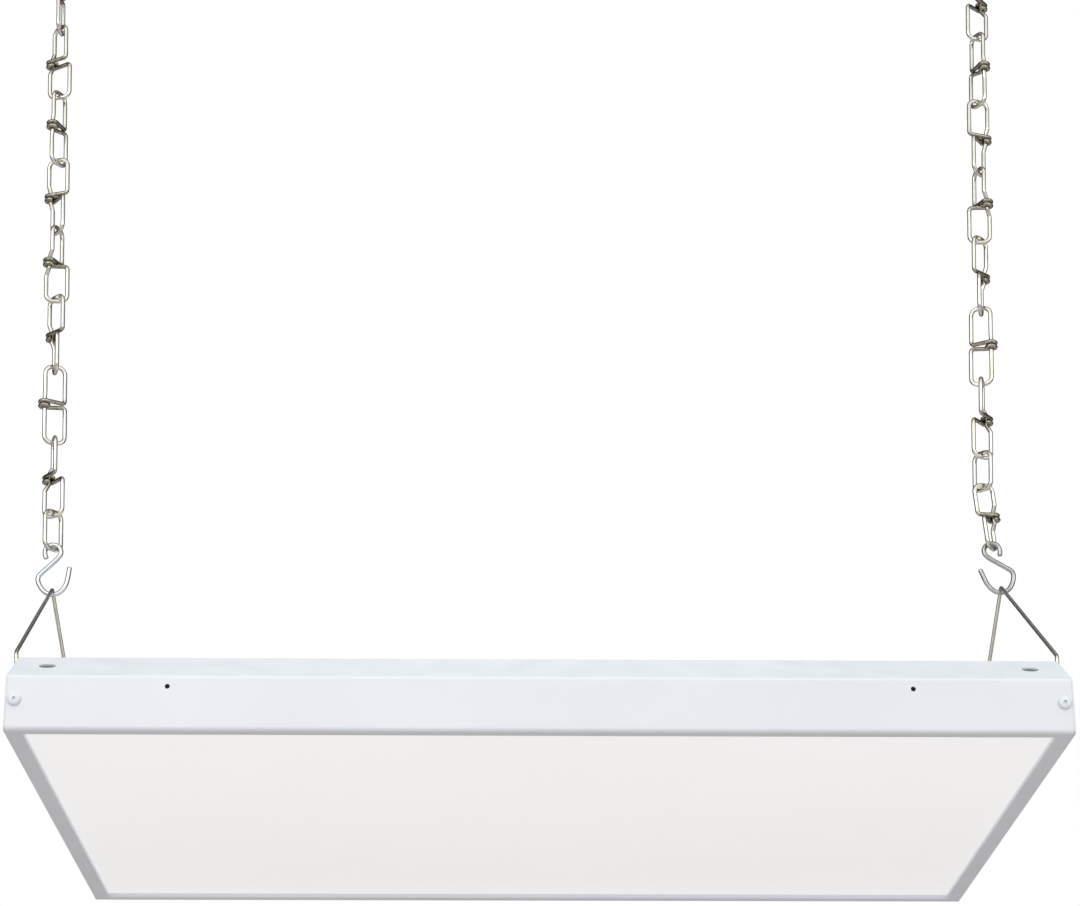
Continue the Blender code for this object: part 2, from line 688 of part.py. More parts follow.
def build_leads():
    """The leads from the gland to the terminal block, and from there to each driver."""
    floor = TRAY_HEIGHT + TRAY_SHEET + GAP
    lift = floor + 2 * MM
    block_end, block_side = BLOCK_SIZE[0] / 2, BLOCK_SIZE[1] / 2
    routes = {
        "mains_lead": [
            (GLAND_X, 0, HEIGHT - GLAND_LENGTH / 2 - 1.5 * MM),
            (GLAND_X - 4 * MM, 0, HEIGHT - 20 * MM),
            (230 * MM, 4 * MM, lift),
            (140 * MM, 10 * MM, lift),
            (60 * MM, 2 * MM, lift),
            (block_end + 1.5 * MM, 0, lift + 3 * MM),
        ],
    }
    for side, name in SIDE_NAMES.items():
        start = DRIVER_X - DRIVER_SIZE[0] / 2 - 0.6 * MM
        driver_lead = [
            (start, -DRIVER_Y - 8 * MM, floor + 9 * MM),
            (start - 6 * MM, -DRIVER_Y - 6 * MM, floor + 8 * MM),
            (start - 12 * MM, -DRIVER_Y + 8 * MM, lift + 2 * MM),
            (8 * MM, -DRIVER_Y + 24 * MM, lift + 2 * MM),
            (6 * MM, -block_side - 0.8 * MM, lift + 3 * MM),
        ]
        routes[f"driver_lead_{name}"] = [(side * x, side * y, z) for x, y, z in driver_lead]
    for name, route in routes.items():
        points = through([lamp_point(*point) for point in route], 3)
        wire = tube(name, [point - points[0] for point in points], LEAD_RADIUS, 1)
        place_in(wire, LEAD, LAMP, points[0])


# ---------------------------------------------------------------- hanging gear

# Places on a hanging line have X outward from the lamp and Z up the line.


def outward(side, points):
    return [Vector((side * x, y, z)) for x, y, z in points]


def hanger_line(apex_rise):
    """The bent wire from its front foot, over the apex, to its back foot."""
    reach = DEPTH / 2 - FOOT_FROM_EDGE
    half_apex = math.atan2(reach, apex_rise - FOOT_RISE)
    apex = apex_rise + APEX_BEND * (1 / math.sin(half_apex) - 1)
    half = [
        (-FOOT_INWARD, -reach, 0),
        (0, -reach, 0),
        (0, -reach, FOOT_RISE),
    ]
    corners = [*half, (0, 0, apex), *[(x, -y, z) for x, y, z in reversed(half)]]
    return rounded(corners, (FOOT_BEND, LEG_BEND, APEX_BEND, LEG_BEND, FOOT_BEND), 3)


def s_hook_line():
    """The S-hook's wire, from its upper tip round both bowls to its open lower tip."""
    top = S_HEIGHT / MM
    points = [
        (4.0, 0, top - 9.6),
        (5.0, 0, top - 5.6),
        (3.9, 0, top - 1.6),
        (0, 0, top),
        (-4.1, 0, top - 1.6),
        (-5.5, 0, top - 5.4),
        (-3.2, 0, top - 9.8),
        (6.4, 0, 15.6),
        (9.2, 0, 12.2),
        (8.6, 0, 7.6),
        (5.0, 0, 2.2),
        (0, 0, 0),
        (-5.4, 0, 1.6),
        (-9.2, 0, 7.4),
        (-11.3, 0, 18.4),
    ]
    return through([Vector(point) * MM for point in points], 2)


def loop_half(half_width, height, corner):
    """One end of a loop from its left leg over the top to its right leg, in X and Z."""
    line = [Vector((-half_width, 0, 0)), Vector((-half_width, 0, height))]
    line += [Vector((half_width, 0, height)), Vector((half_width, 0, 0))]
    return rounded(line, corner, 3)[1:-1]


def knot_half(turn, through_point, height, flip):
    """Half of a double-loop link above its knot: the strand, the loop, and the end wound on the strand.

    turn is the loop's turn about the chain, through_point where the strand passes the knot, and flip
    winds the end the other way round.
    """
    facing = Matrix.Rotation(turn, 3, "Z")
    wind_height = NESTING / 2
    leg = facing @ Vector((LINK_HALF_WIDTH, 0, 0))
    line = [through_point + Vector((0, 0, NESTING * 1.1))]
    line.append(-leg + Vector((0, 0, NESTING * 1.1 + KNOT_LEG)))
    line += [facing @ point for point in loop_half(LINK_HALF_WIDTH, height, LINK_CORNER)]
    toward = (through_point - leg).normalized()
    across_way = Vector((-toward.y, toward.x, 0)) * flip
    tangent = through_point + across_way * NESTING
    approach = [line[-1], leg + Vector((0, 0, wind_height)), tangent + Vector((0, 0, wind_height))]
    line += rounded(approach, KNOT_BEND)[1:-1]
    for step in range(7):
        angle = WINDING * step / 6
        around = across_way * math.cos(angle) + toward * math.sin(angle)
        line.append(through_point + around * NESTING + Vector((0, 0, wind_height)))
    return line


def link_line(upper_turn, lower_turn, pitch):
    """A double-loop link's wire, one end of it wound above the other round the strand between loops."""
    height = (pitch + NESTING) / 2
    upper = math.radians(upper_turn)
    lower = math.radians(lower_turn)
    upper_leg = Matrix.Rotation(upper, 3, "Z") @ Vector((LINK_HALF_WIDTH, 0, 0))
    lower_leg = Matrix.Rotation(lower, 3, "Z") @ Vector((LINK_HALF_WIDTH, 0, 0))
    if upper_leg.dot(lower_leg) < 0:
        lower_leg = -lower_leg
        lower += math.pi
    strand = -(upper_leg + lower_leg) / 2
    above = knot_half(upper, strand, height, 1)
    mirrored = [Vector((point.x, point.y, -point.z)) for point in knot_half(lower, strand, height, -1)]
    return above[::-1] + mirrored


def ring_line(turn, pitch):
    """A plain oval ring."""
    height = (pitch + NESTING) / 2
    end = loop_half(LINK_HALF_WIDTH, height, LINK_CORNER)
    facing = Matrix.Rotation(math.radians(turn), 3, "Z")
    return [facing @ point for point in end] + [facing @ -point for point in end]


def place_link(name, side, turns, pitch, low_wire, parent):
    """Puts a link on its line, with its lower wire this far up. The right chain mirrors the left."""
    line = ring_line(turns[0], pitch) if len(turns) == 1 else link_line(*turns, pitch)
    if side == RIGHT:
        line = [Vector((-point.x, point.y, point.z)) for point in line]
    middle = low_wire + (pitch + NESTING) / 2
    wire = tube(name, line, WIRE, 1, ring=len(turns) == 1)
    lean = FIRST_LEAN if low_wire == CHAIN_START else CHAIN_LEAN
    place_in(wire, CHAIN_STEEL, parent, on_chain(side, middle), leaning(side, lean))


def pitches(side):
    if side == LEFT:
        return [RING_PITCH] + [LINK_PITCH] * 7
    return [SHORT_PITCH, RING_PITCH] + [RIGHT_LINK_PITCH] * 6


def build_chain(side, name, turns, top_turns):
    low_wire = CHAIN_START
    for i, (turn, pitch) in enumerate(zip(turns, pitches(side))):
        kind = "chain_ring" if len(turn) == 1 else "chain_link"
        place_link(f"{kind}_{name}_{i + 1}", side, turn, pitch, low_wire, SIDE_PIVOTS[side])
        low_wire += pitch
    place_link(f"top_link_{name}", side, top_turns, TOP_PITCH, low_wire, TOP_PIVOTS[side])


def build_hanger(side, name):
    line = hanger_line(APEX_RISE[side])
    wire = tube(f"v_hanger_{name}", outward(side, line), HANGER_RADIUS)
    place_in(wire, HANGER_STEEL, LAMP, FEET[side], leaning(side, HANGER_LEAN))


def build_s_hook(side, name):
    wire = tube(f"s_hook_{name}", outward(side, s_hook_line()), S_RADIUS, 1)
    place_in(wire, HOOK_STEEL, S_PIVOTS[side], S_PLACES[side], leaning(side, S_LEAN))


def build_ceiling_hook(side, name):
    """A screw hook: a pointed screw in the ceiling, a collar against it and a round open bowl below."""
    place = on_chain(side, TO_HOOK[side])
    place.z = 0
    centre = Vector((0, 0, -HOOK_DROP + HOOK_BOWL))
    line = [Vector((0, 0, HOOK_SCREW)), Vector((0, 0, HOOK_SCREW - 5 * MM)), Vector((0, 0, 0))]
    line.append(centre + Vector((0, 0, HOOK_BOWL + 6 * MM)))
    line.append(centre + Vector((0.6 * MM, 0, HOOK_BOWL + 1.6 * MM)))
    start, end = HOOK_SWEEP
    for step in range(13):
        angle = start + (end - start) * step / 12
        line.append(centre + Vector((math.cos(angle), 0, math.sin(angle))) * HOOK_BOWL)
    line = [Vector((-side * point.x, 0, point.z)) for point in line]
    curve = tube(f"hook_wire_{name}", line, HOOK_RADIUS)
    curve.data.splines[0].points[0].radius = 0.15
    bpy.context.scene.collection.objects.link(curve)
    evaluated = curve.evaluated_get(bpy.context.evaluated_depsgraph_get())
    mesh = bpy.data.meshes.new_from_object(evaluated)
    bpy.data.objects.remove(curve)
    shape = bmesh.new()
    shape.from_mesh(mesh)
    bmesh.ops.remove_doubles(shape, verts=shape.verts, dist=0.01 * MM)
    shape.to_mesh(mesh)
    shape.free()
    smooth(mesh, 50)
    hook = place_in(bpy.data.objects.new(f"ceiling_hook_{name}", mesh), HOOK_STEEL, ROOT, place)
    collar = rod_mesh("collar", COLLAR_RADIUS, COLLAR_THICKNESS, (0, 0, 1), (0, 0, -COLLAR_THICKNESS / 2), 24)
    join(hook, tool(f"collar_{name}", collar, place))


build_housing()
build_end_screws()
build_diffuser()
build_tray()
build_standoffs()
build_boards()
build_drivers()
build_gland()
build_terminal_block()
build_leads()
TURNS = {LEFT: (LEFT_TURNS, LEFT_TOP_TURNS), RIGHT: (RIGHT_TURNS, RIGHT_TOP_TURNS)}
for lamp_side, side_name in SIDE_NAMES.items():
    build_end_cap(lamp_side, side_name)
    build_hanger(lamp_side, side_name)
    build_s_hook(lamp_side, side_name)
    build_chain(lamp_side, side_name, *TURNS[lamp_side])
    build_ceiling_hook(lamp_side, side_name)
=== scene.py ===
"""Looks of the hanging grow lamp: fine wire and sheet-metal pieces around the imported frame, their
materials, and the studio. X runs along the lamp, Y from front to back, Z up, in metres."""

import json
import math
import random

import bmesh
import bpy
from mathutils import Matrix, Vector


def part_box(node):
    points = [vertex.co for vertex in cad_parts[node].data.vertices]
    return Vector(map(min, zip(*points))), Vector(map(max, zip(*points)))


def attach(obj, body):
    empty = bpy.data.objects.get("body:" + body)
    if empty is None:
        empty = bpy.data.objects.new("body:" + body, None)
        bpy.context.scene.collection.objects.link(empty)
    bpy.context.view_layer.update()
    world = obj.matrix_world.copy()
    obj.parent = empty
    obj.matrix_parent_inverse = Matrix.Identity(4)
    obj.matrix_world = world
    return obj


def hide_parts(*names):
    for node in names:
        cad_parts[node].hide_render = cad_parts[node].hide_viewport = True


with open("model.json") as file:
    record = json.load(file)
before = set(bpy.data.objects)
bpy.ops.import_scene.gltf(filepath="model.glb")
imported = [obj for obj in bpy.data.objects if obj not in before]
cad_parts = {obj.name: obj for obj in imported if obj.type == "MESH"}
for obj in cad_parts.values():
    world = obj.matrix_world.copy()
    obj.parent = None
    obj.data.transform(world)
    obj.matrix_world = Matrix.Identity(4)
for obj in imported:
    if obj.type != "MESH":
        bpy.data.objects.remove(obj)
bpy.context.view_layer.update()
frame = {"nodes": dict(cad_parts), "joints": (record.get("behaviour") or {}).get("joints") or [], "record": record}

MM = 0.001
LEFT, RIGHT = -1, 1
SIDE_NAMES = {LEFT: "left", RIGHT: "right"}
ENDS = ((-1, "front"), (1, "back"))

# ---------------------------------------------------------------- places, from the frame

PIVOTS = {joint["name"]: Vector(joint["pos_m"]) for joint in frame["joints"]}
HOOK_POINTS = {LEFT: PIVOTS["swing_fore_aft"], RIGHT: PIVOTS["right_swing_fore_aft"]}
CHAIN_TOPS = {LEFT: PIVOTS["swing_side"], RIGHT: PIVOTS["right_swing_side"]}
CHAIN_ENDS = {LEFT: PIVOTS["left_s_hook_turn"], RIGHT: PIVOTS["right_s_hook_turn"]}

HOOD_LOW, HOOD_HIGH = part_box("housing_shell")
LENGTH = 2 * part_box("end_cap_right")[1].x
DEPTH = HOOD_HIGH.y - HOOD_LOW.y
HEIGHT = HOOD_HIGH.z - HOOD_LOW.z
FLOOR_OF_LAMP = HOOD_LOW.z

# Edges that turn by more than this many degrees are shaded sharp.
SHARP_ANGLE, WIRE_SHARP_ANGLE = 40, 50

# Hood
FACE_HEIGHT = 32 * MM
SHOULDER_RUN = 42 * MM
SHEET = 1.0 * MM
BEND = 2.5 * MM
LIP = 10 * MM
LIP_RETURN = 2.8 * MM
LIP_BEND = 1.1 * MM
TAB = 12 * MM
SEAM = 0.3 * MM
EDGE_SEAM = 0.03 * MM
EDGE = 0.22 * MM
SCREW_INSET = 5.5 * MM
SCREW_HEIGHT = 18 * MM
SCREW_HOLE = 1.9 * MM
SCREW_RIM, SCREW_CROWN, SCREW_HEAD = 3.7 * MM, 2.4 * MM, 2.1 * MM
SCREW_SHANK, SCREW_LENGTH = 1.6 * MM, 6 * MM
SCREW_SOCKET = 1.2 * MM
SMALL_HOLE_X = 213 * MM
SMALL_HOLE_HEIGHT = 26 * MM
SMALL_HOLE_RADIUS = 1.45 * MM
SHOULDER_HOLE_X = 285 * MM
SHOULDER_HOLE_RADIUS = 5 * MM
SHOULDER_HOLE_SHARE = 0.53
FOOT_FROM_EDGE = 52.5 * MM
FOOT_HOLE_RADIUS = 2.2 * MM

# Wires
HANGER_RADIUS = 1.2 * MM
HANGER_OUTSIDE = 2 * MM
FOOT_HEIGHT = 44 * MM
FOOT_RISE = 18 * MM
FOOT_INWARD = 9 * MM
APEX_RISE = {LEFT: 112.7 * MM, RIGHT: 116.7 * MM}
APEX_BEND, LEG_BEND, FOOT_BEND = 3.2 * MM, 4 * MM, 1.6 * MM
HANGER_LEAN = {LEFT: math.radians(4.05), RIGHT: math.radians(0.3)}
# Painted shade: how far each hanger leg is darkened, the front leg more than the back.
FRONT_LEG_SHADE, BACK_LEG_SHADE = 0.18, 0.1
S_RADIUS = 1.55 * MM
S_HEIGHT = 34.4 * MM
S_EYE = 5.8 * MM
S_LEAN = {LEFT: math.radians(2.32), RIGHT: math.radians(-12)}
# How much each S-hook is darkened towards the hook metal's dark colour, the right one most.
S_SHADES = {LEFT: 0.15, RIGHT: 0.85}
FIRST_LEAN = {LEFT: math.radians(2.32), RIGHT: math.radians(-5)}
WIRE = 1.45 * MM
NESTING = 2 * WIRE + SEAM
LINK_HALF_WIDTH = 7.05 * MM
LINK_CORNER = 5 * MM
KNOT_LEG = 5 * MM
KNOT_REACH = 4.5 * MM
HOOK_RADIUS = 1.92 * MM
HOOK_BOWL = 10 * MM
HOOK_DROP = 36 * MM
HOOK_SCREW = 22 * MM
HOOK_CORE, HOOK_TIP = 1.45 * MM, 5 * MM
THREAD_TURNS, THREAD_STEPS, THREAD_RADIUS = 10, 20, 0.42 * MM
COLLAR_RADIUS, COLLAR_THICKNESS = 7.5 * MM, 2 * MM

# A cut wire's end: its dome's depth over the radius, and the dome's steps of depth and radius.
DOME_DEPTH = 0.35
DOME_STEPS = ((0.0, 0.62), (0.3, 0.88), (1.0, 1.0))

# Gland
GLAND_FLANGE_RADIUS, GLAND_FLANGE_THICKNESS = 12 * MM, 5 * MM
GLAND_RADIUS, GLAND_GRIP_TOP = 10 * MM, 8.5 * MM
GLAND_CROWN_RADIUS, GLAND_CROWN_BEND, GLAND_CROWN_HEIGHT = 5.6 * MM, 4.2 * MM, 9 * MM
GLAND_RIBS = 12
GLAND_RIB = (1.4 * MM, 1.6 * MM, 4.2 * MM)
GLAND_BARREL_RADIUS, GLAND_BARREL_LENGTH = 8 * MM, 20 * MM
GLAND_BORE_RADIUS = 4 * MM

# The turn of each link's upper and lower loop about the chain, in degrees, from the lamp upwards.
LEFT_LINKS = {
    "chain_ring_left_1": (50,),
    "chain_link_left_2": (-76, -26),
    "chain_link_left_3": (26, 23),
    "chain_link_left_4": (-45, -75),
    "chain_link_left_5": (70, 8),
    "chain_link_left_6": (-19, -53),
    "chain_link_left_7": (63, 56),
    "chain_link_left_8": (-48, -13),
    "top_link_left": (80, 84),
}
RIGHT_LINKS = {
    "chain_link_right_1": (-20, -61),
    "chain_ring_right_2": (50,),
    "chain_link_right_3": (-76, -26),
    "chain_link_right_4": (26, 23),
    "chain_link_right_5": (-45, -75),
    "chain_link_right_6": (70, 8),
    "chain_link_right_7": (-19, -53),
    "chain_link_right_8": (63, 56),
    "top_link_right": (-82, -13),
}


def chain_lean(side):
    """How far one chain leans outwards above its first link."""
    along = HOOK_POINTS[side] - CHAIN_TOPS[side]
    return math.atan2(side * along.x, along.z)


def up_from(side, place, lean, rise):
    """The point this far above a place, on a line that leans outwards."""
    return place + Vector((side * rise * math.sin(lean), 0, rise * math.cos(lean)))


def standing(side, place, lean):
    """The matrix of a piece at this place that leans outwards."""
    return Matrix.Translation(place) @ Matrix.Rotation(side * lean, 4, "Y")


def lamp_point(x, y, height):
    return Vector((x, y, FLOOR_OF_LAMP + height))


# ---------------------------------------------------------------- materials


class Shader:
    """A Principled material with a few helpers for its nodes."""

    def __init__(self, name, **values):
        self.material = bpy.data.materials.new(name)
        self.material.use_nodes = True
        self.tree = self.material.node_tree
        self.bsdf = self.tree.nodes["Principled BSDF"]
        for key, value in values.items():
            self.bsdf.inputs[key.replace("_", " ")].default_value = value

    def node(self, kind, settings=None, **inputs):
        made = self.tree.nodes.new(kind)
        for key, value in (settings or {}).items():
            setattr(made, key, value)
        for key, value in inputs.items():
            socket = made.inputs[key.replace("_", " ")]
            if isinstance(value, bpy.types.NodeSocket):
                self.tree.links.new(value, socket)
            else:
                socket.default_value = value
        return made

    def link(self, output, socket_name):
        self.tree.links.new(output, self.bsdf.inputs[socket_name])

    def place(self, scale=(1, 1, 1), of="Object"):
        """Coordinates in metres, or along a wire, stretched by scale."""
        found = self.node("ShaderNodeTexCoord").outputs[of]
        return self.node("ShaderNodeMapping", Vector=found, Scale=scale).outputs["Vector"]

    def noise(self, vector, scale, detail=4.0, roughness=0.5):
        return self.node(
            "ShaderNodeTexNoise", Vector=vector, Scale=scale, Detail=detail, Roughness=roughness
        ).outputs["Fac"]

    def ranged(self, value, low, high, to_low, to_high):
        return self.node(
            "ShaderNodeMapRange",
            Value=value,
            From_Min=low,
            From_Max=high,
            To_Min=to_low,
            To_Max=to_high,
        ).outputs["Result"]

    def mixed(self, factor, first, second):
        """A colour between two colours or colour outputs."""
        made = self.tree.nodes.new("ShaderNodeMix")
        made.data_type = "RGBA"
        sockets = (made.inputs[0], made.inputs[6], made.inputs[7])
        for socket, value in zip(sockets, (factor, first, second)):
            if isinstance(value, bpy.types.NodeSocket):
                self.tree.links.new(value, socket)
            else:
                socket.default_value = value
        return made.outputs[2]

    def bump(self, height, depth, strength, under=None):
        made = self.node("ShaderNodeBump", Height=height, Distance=depth, Strength=strength)
        if under is not None:
            self.tree.links.new(under, made.inputs["Normal"])
        return made.outputs["Normal"]


def rgb(red, green, blue):
    return (red, green, blue, 1.0)


def powder_coat(name, light, dark, low_rough=0.3, high_rough=0.42):
    """Sprayed and baked paint: fine orange peel, faint clouding and tiny specks."""
    coat = Shader(name, Specular_IOR_Level=0.5)
    place = coat.place()
    clouds = coat.ranged(coat.noise(place, 9, 3), 0.3, 0.7, 0, 1)
    colour = coat.mixed(clouds, light, dark)
    specks = coat.ranged(coat.noise(place, 2600, 1), 0.70, 0.78, 0, 0.35)
    speck_colour = tuple(0.86 * part for part in dark[:3]) + (1,)
    coat.link(coat.mixed(specks, colour, speck_colour), "Base Color")
    coat.link(coat.ranged(coat.noise(place, 60, 3), 0.3, 0.7, low_rough, high_rough), "Roughness")
    peel = coat.bump(coat.noise(place, 520, 2), 0.03 * MM, 0.45)
    coat.link(coat.bump(coat.noise(place, 90, 1), 0.05 * MM, 0.25, peel), "Normal")
    return coat.material


def wire_zinc(name, bright, tinted, grime_and_shade, roughness):
    """Zinc-plated wire: drawn streaks along it, a patchy tint, and a patchy darkening where its shade attribute
    asks, which is partly grime and partly painted shade.
    """
    zinc = Shader(name, Metallic=1.0)
    place = zinc.place()
    tint = zinc.ranged(zinc.noise(place, 110, 3, 0.5), 0.3, 0.7, 0, 1)
    colour = zinc.mixed(tint, bright, tinted)
    # Grime and painted shade: the shade attribute, broken into patches, darkens the wire towards its dark colour.
    shade = zinc.node("ShaderNodeAttribute", {"attribute_name": "shade"}).outputs["Fac"]
    patches = zinc.ranged(zinc.noise(place, 420, 4, 0.6), 0.35, 0.7, 0.55, 1.1)
    grime_and_shade_mask = zinc.node("ShaderNodeMath", {"operation": "MULTIPLY", "use_clamp": True})
    zinc.tree.links.new(shade, grime_and_shade_mask.inputs[0])
    zinc.tree.links.new(patches, grime_and_shade_mask.inputs[1])
    zinc.link(zinc.mixed(grime_and_shade_mask.outputs[0], colour, grime_and_shade), "Base Color")
    rough = zinc.ranged(zinc.noise(place, 300, 3), 0.3, 0.7, roughness - 0.04, roughness + 0.06)
    zinc.link(rough, "Roughness")
    streaks = zinc.noise(zinc.place((4, 1, 1), "UV"), 14, 3, 0.6)
    zinc.link(zinc.bump(streaks, 0.01 * MM, 0.15), "Normal")
    return zinc.material


def opal_sheet(name):
    """Extruded opal acrylic: milky, with a faint painted glow from emission that brightens it."""
    # Painted glow: the emission lifts the downward-facing sheet above the light that reaches it.
    opal = Shader(name, Emission_Strength=0.36, Specular_IOR_Level=0.4)
    opal.bsdf.inputs["Emission Color"].default_value = rgb(0.99, 1.0, 1.0)
    place = opal.place()
    clouds = opal.ranged(opal.noise(place, 5, 2), 0.3, 0.7, 0, 1)
    opal.link(opal.mixed(clouds, rgb(0.85, 0.85, 0.85), rgb(0.875, 0.877, 0.875)), "Base Color")
    opal.link(opal.ranged(opal.noise(place, 40, 3), 0.3, 0.7, 0.5, 0.6), "Roughness")
    ribs = opal.noise(opal.place((1, 14, 1)), 24, 2)
    opal.link(opal.bump(ribs, 0.02 * MM, 0.12), "Normal")
    return opal.material


def plain_metal(name, light, dark, roughness, brush=(4, 90, 90)):
    """Brushed or extruded metal, with fine lines along X."""
    metal = Shader(name, Metallic=1.0)
    lines = metal.noise(metal.place(brush), 12, 5, 0.6)
    metal.link(metal.mixed(metal.ranged(lines, 0.3, 0.7, 0, 1), light, dark), "Base Color")
    metal.link(metal.ranged(lines, 0.3, 0.7, roughness - 0.06, roughness + 0.08), "Roughness")
    metal.link(metal.bump(lines, 0.02 * MM, 0.3), "Normal")
    return metal.material


def moulded(name, light, dark, roughness, grain=700):
    """Moulded plastic with a fine spark-eroded grain."""
    plastic = Shader(name)
    place = plastic.place()
    plastic.link(plastic.mixed(plastic.noise(place, 50, 3), light, dark), "Base Color")
    rough = plastic.ranged(plastic.noise(place, 120, 3), 0.3, 0.7, roughness, roughness + 0.12)
    plastic.link(rough, "Roughness")
    plastic.link(plastic.bump(plastic.noise(place, grain, 3), 0.03 * MM, 0.5), "Normal")
    return plastic.material


COAT = powder_coat("powder_coat", rgb(0.80, 0.83, 0.865), rgb(0.77, 0.80, 0.84))
REFLECTOR = powder_coat("reflector_paint", rgb(0.9, 0.9, 0.9), rgb(0.87, 0.87, 0.87), 0.2, 0.3)
OPAL = opal_sheet("opal_acrylic")
# The last colour of each wire metal is the dark colour its shade attribute darkens it to: grime, and painted shade
# on the hanger legs and in part on the chain's windings.
CHAIN_ZINC = wire_zinc(
    "chain_zinc", rgb(0.82, 0.80, 0.74), rgb(0.68, 0.655, 0.57), rgb(0.17, 0.15, 0.095), 0.14
)
HOOK_ZINC = wire_zinc(
    "hook_zinc", rgb(0.70, 0.74, 0.76), rgb(0.56, 0.60, 0.62), rgb(0.30, 0.30, 0.29), 0.17
)
HANGER_STEEL = wire_zinc(
    "hanger_steel", rgb(0.74, 0.69, 0.61), rgb(0.62, 0.565, 0.48), rgb(0.27, 0.2, 0.13), 0.18
)
BOARD = powder_coat("led_board_mask", rgb(0.88, 0.88, 0.86), rgb(0.84, 0.84, 0.80), 0.3, 0.4)
DRIVER_CASE = plain_metal("driver_case", rgb(0.77, 0.78, 0.79), rgb(0.66, 0.67, 0.68), 0.38)
PLATED = plain_metal(
    "plated_screw", rgb(0.74, 0.76, 0.78), rgb(0.6, 0.62, 0.64), 0.28, (300, 300, 300)
)
BRASS = plain_metal(
    "ground_brass", rgb(0.78, 0.62, 0.32), rgb(0.62, 0.48, 0.22), 0.32, (200, 200, 200)
)
NYLON = moulded("black_nylon", rgb(0.022, 0.022, 0.023), rgb(0.035, 0.035, 0.036), 0.42)
BLOCK = moulded("terminal_nylon", rgb(0.8, 0.78, 0.7), rgb(0.74, 0.71, 0.62), 0.45)
LEAD = moulded("lead_insulation", rgb(0.62, 0.04, 0.03), rgb(0.5, 0.03, 0.02), 0.35, 300)

SLOT_LOOKS = {
    "white_powder_coat": COAT,
    "reflector_white": REFLECTOR,
    "opal_acrylic": OPAL,
    "chain_zinc": CHAIN_ZINC,
    "hook_zinc": PLATED,
    "hanger_wire": HANGER_STEEL,
    "led_board": BOARD,
    "driver_case": DRIVER_CASE,
    "ground_brass": BRASS,
    "black_nylon": NYLON,
    "terminal_nylon": BLOCK,
    "lead_insulation": LEAD,
}
for part in frame["record"]["subparts"]:
    cad_object = frame["nodes"][part["node"]]
    for holder in cad_object.material_slots:
        holder.material = SLOT_LOOKS[part["material_slot"]]


# ---------------------------------------------------------------- making pieces


def piece(name, mesh, look, body, nodes=()):
    """A finished piece, with its look and body; the CAD nodes it stands for are hidden."""
    made = bpy.data.objects.new(name, mesh)
    bpy.context.scene.collection.objects.link(made)
    made.data.materials.clear()
    made.data.materials.append(look)
    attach(made, body)
    if nodes:
        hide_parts(*nodes)
    return made


def mesh_of(name, shape, angle=SHARP_ANGLE):
    mesh = bpy.data.meshes.new(name)
    shape.to_mesh(mesh)
    shape.free()
    mesh.shade_smooth()
    mesh.set_sharp_from_angle(angle=math.radians(angle))
    return mesh


def rounded(corners, radii, steps=8):
    """The corners of an open line, each inner corner made an arc; radii is one, or one for each."""
    corners = [Vector(corner) for corner in corners]
    if not isinstance(radii, tuple):
        radii = (radii,) * (len(corners) - 2)
    line = [corners[0]]
    for before, corner, after, radius in zip(corners, corners[1:], corners[2:], radii):
        back = (before - corner).normalized()
        onward = (after - corner).normalized()
        half = back.angle(onward) / 2
        reach = radius / math.tan(half)
        centre = corner + (back + onward).normalized() * radius / math.sin(half)
        start = corner + back * reach - centre
        end = corner + onward * reach - centre
        sweep = start.angle(end)
        for step in range(steps + 1):
            share = step / steps
            weight_a = math.sin((1 - share) * sweep) / math.sin(sweep)
            weight_b = math.sin(share * sweep) / math.sin(sweep)
            line.append(centre + start * weight_a + end * weight_b)
    return [*line, corners[-1]]


def through(points, steps):
    """A smooth line through the points (Catmull-Rom), with this many steps between each two."""
    points = [Vector(point) for point in points]
    padded = [2 * points[0] - points[1], *points, 2 * points[-1] - points[-2]]
    line = []
    for a, b, c, d in zip(padded, padded[1:], padded[2:], padded[3:]):
        for step in range(steps):
            t = step / steps
            slope, curl = 2 * a - 5 * b + 4 * c - d, 3 * b - 3 * c + d - a
            line.append(0.5 * (2 * b + (c - a) * t + slope * t**2 + curl * t**3))
    return [*line, points[-1]]


def spaced(points, step):
    """The same line with extra points, so that none is further than step from the next."""
    line = [points[0]]
    for before, after in zip(points, points[1:]):
        parts = max(1, math.ceil((after - before).length / step))
        line += [before.lerp(after, i / parts) for i in range(1, parts + 1)]
    return line


def directions(points, ring):
    """The direction of a line at each of its points."""
    count = len(points)
    found = []
    for i in range(count):
        before = points[i - 1] if i or ring else points[0]
        after = points[(i + 1) % count] if i < count - 1 or ring else points[-1]
        found.append((after - before).normalized())
    return found


def domed(station, inward):
    """The hoops that close a wire's end with a low dome."""
    point, tangent, radius, shade = station
    hoops = []
    for deep, wide in DOME_STEPS:
        hoops.append((point + tangent * inward * deep, tangent, radius * wide, shade))
    return hoops


def wire_stations(points, radii, shades, ring, dome):
    """The point, direction, radius and shade of each hoop of a wire, whose open ends are domed."""
    stations = list(zip(points, directions(points, ring), radii, shades))
    if ring:
        return stations
    start, end = domed(stations[0], dome), domed(stations[-1], -dome)
    return start + stations[1:-1] + end[::-1]


def skin_wire(shape, uv, hoops, runs, ring):
    """Joins each hoop of vertices to the next, and closes the ends of an open wire."""
    count, sides = len(hoops), len(hoops[0])
    for i in range(count if ring else count - 1):
        here, onward = hoops[i], hoops[(i + 1) % count]
        for k in range(sides):
            n = (k + 1) % sides
            face = shape.faces.new((here[k], here[n], onward[n], onward[k]))
            corners = ((i, k), (i, k + 1), (i + 1, k + 1), (i + 1, k))
            for loop, (station, turn) in zip(face.loops, corners):
                loop[uv].uv = (runs[station], turn / sides)
    if not ring:
        shape.faces.new(hoops[0][::-1])
        shape.faces.new(hoops[-1])


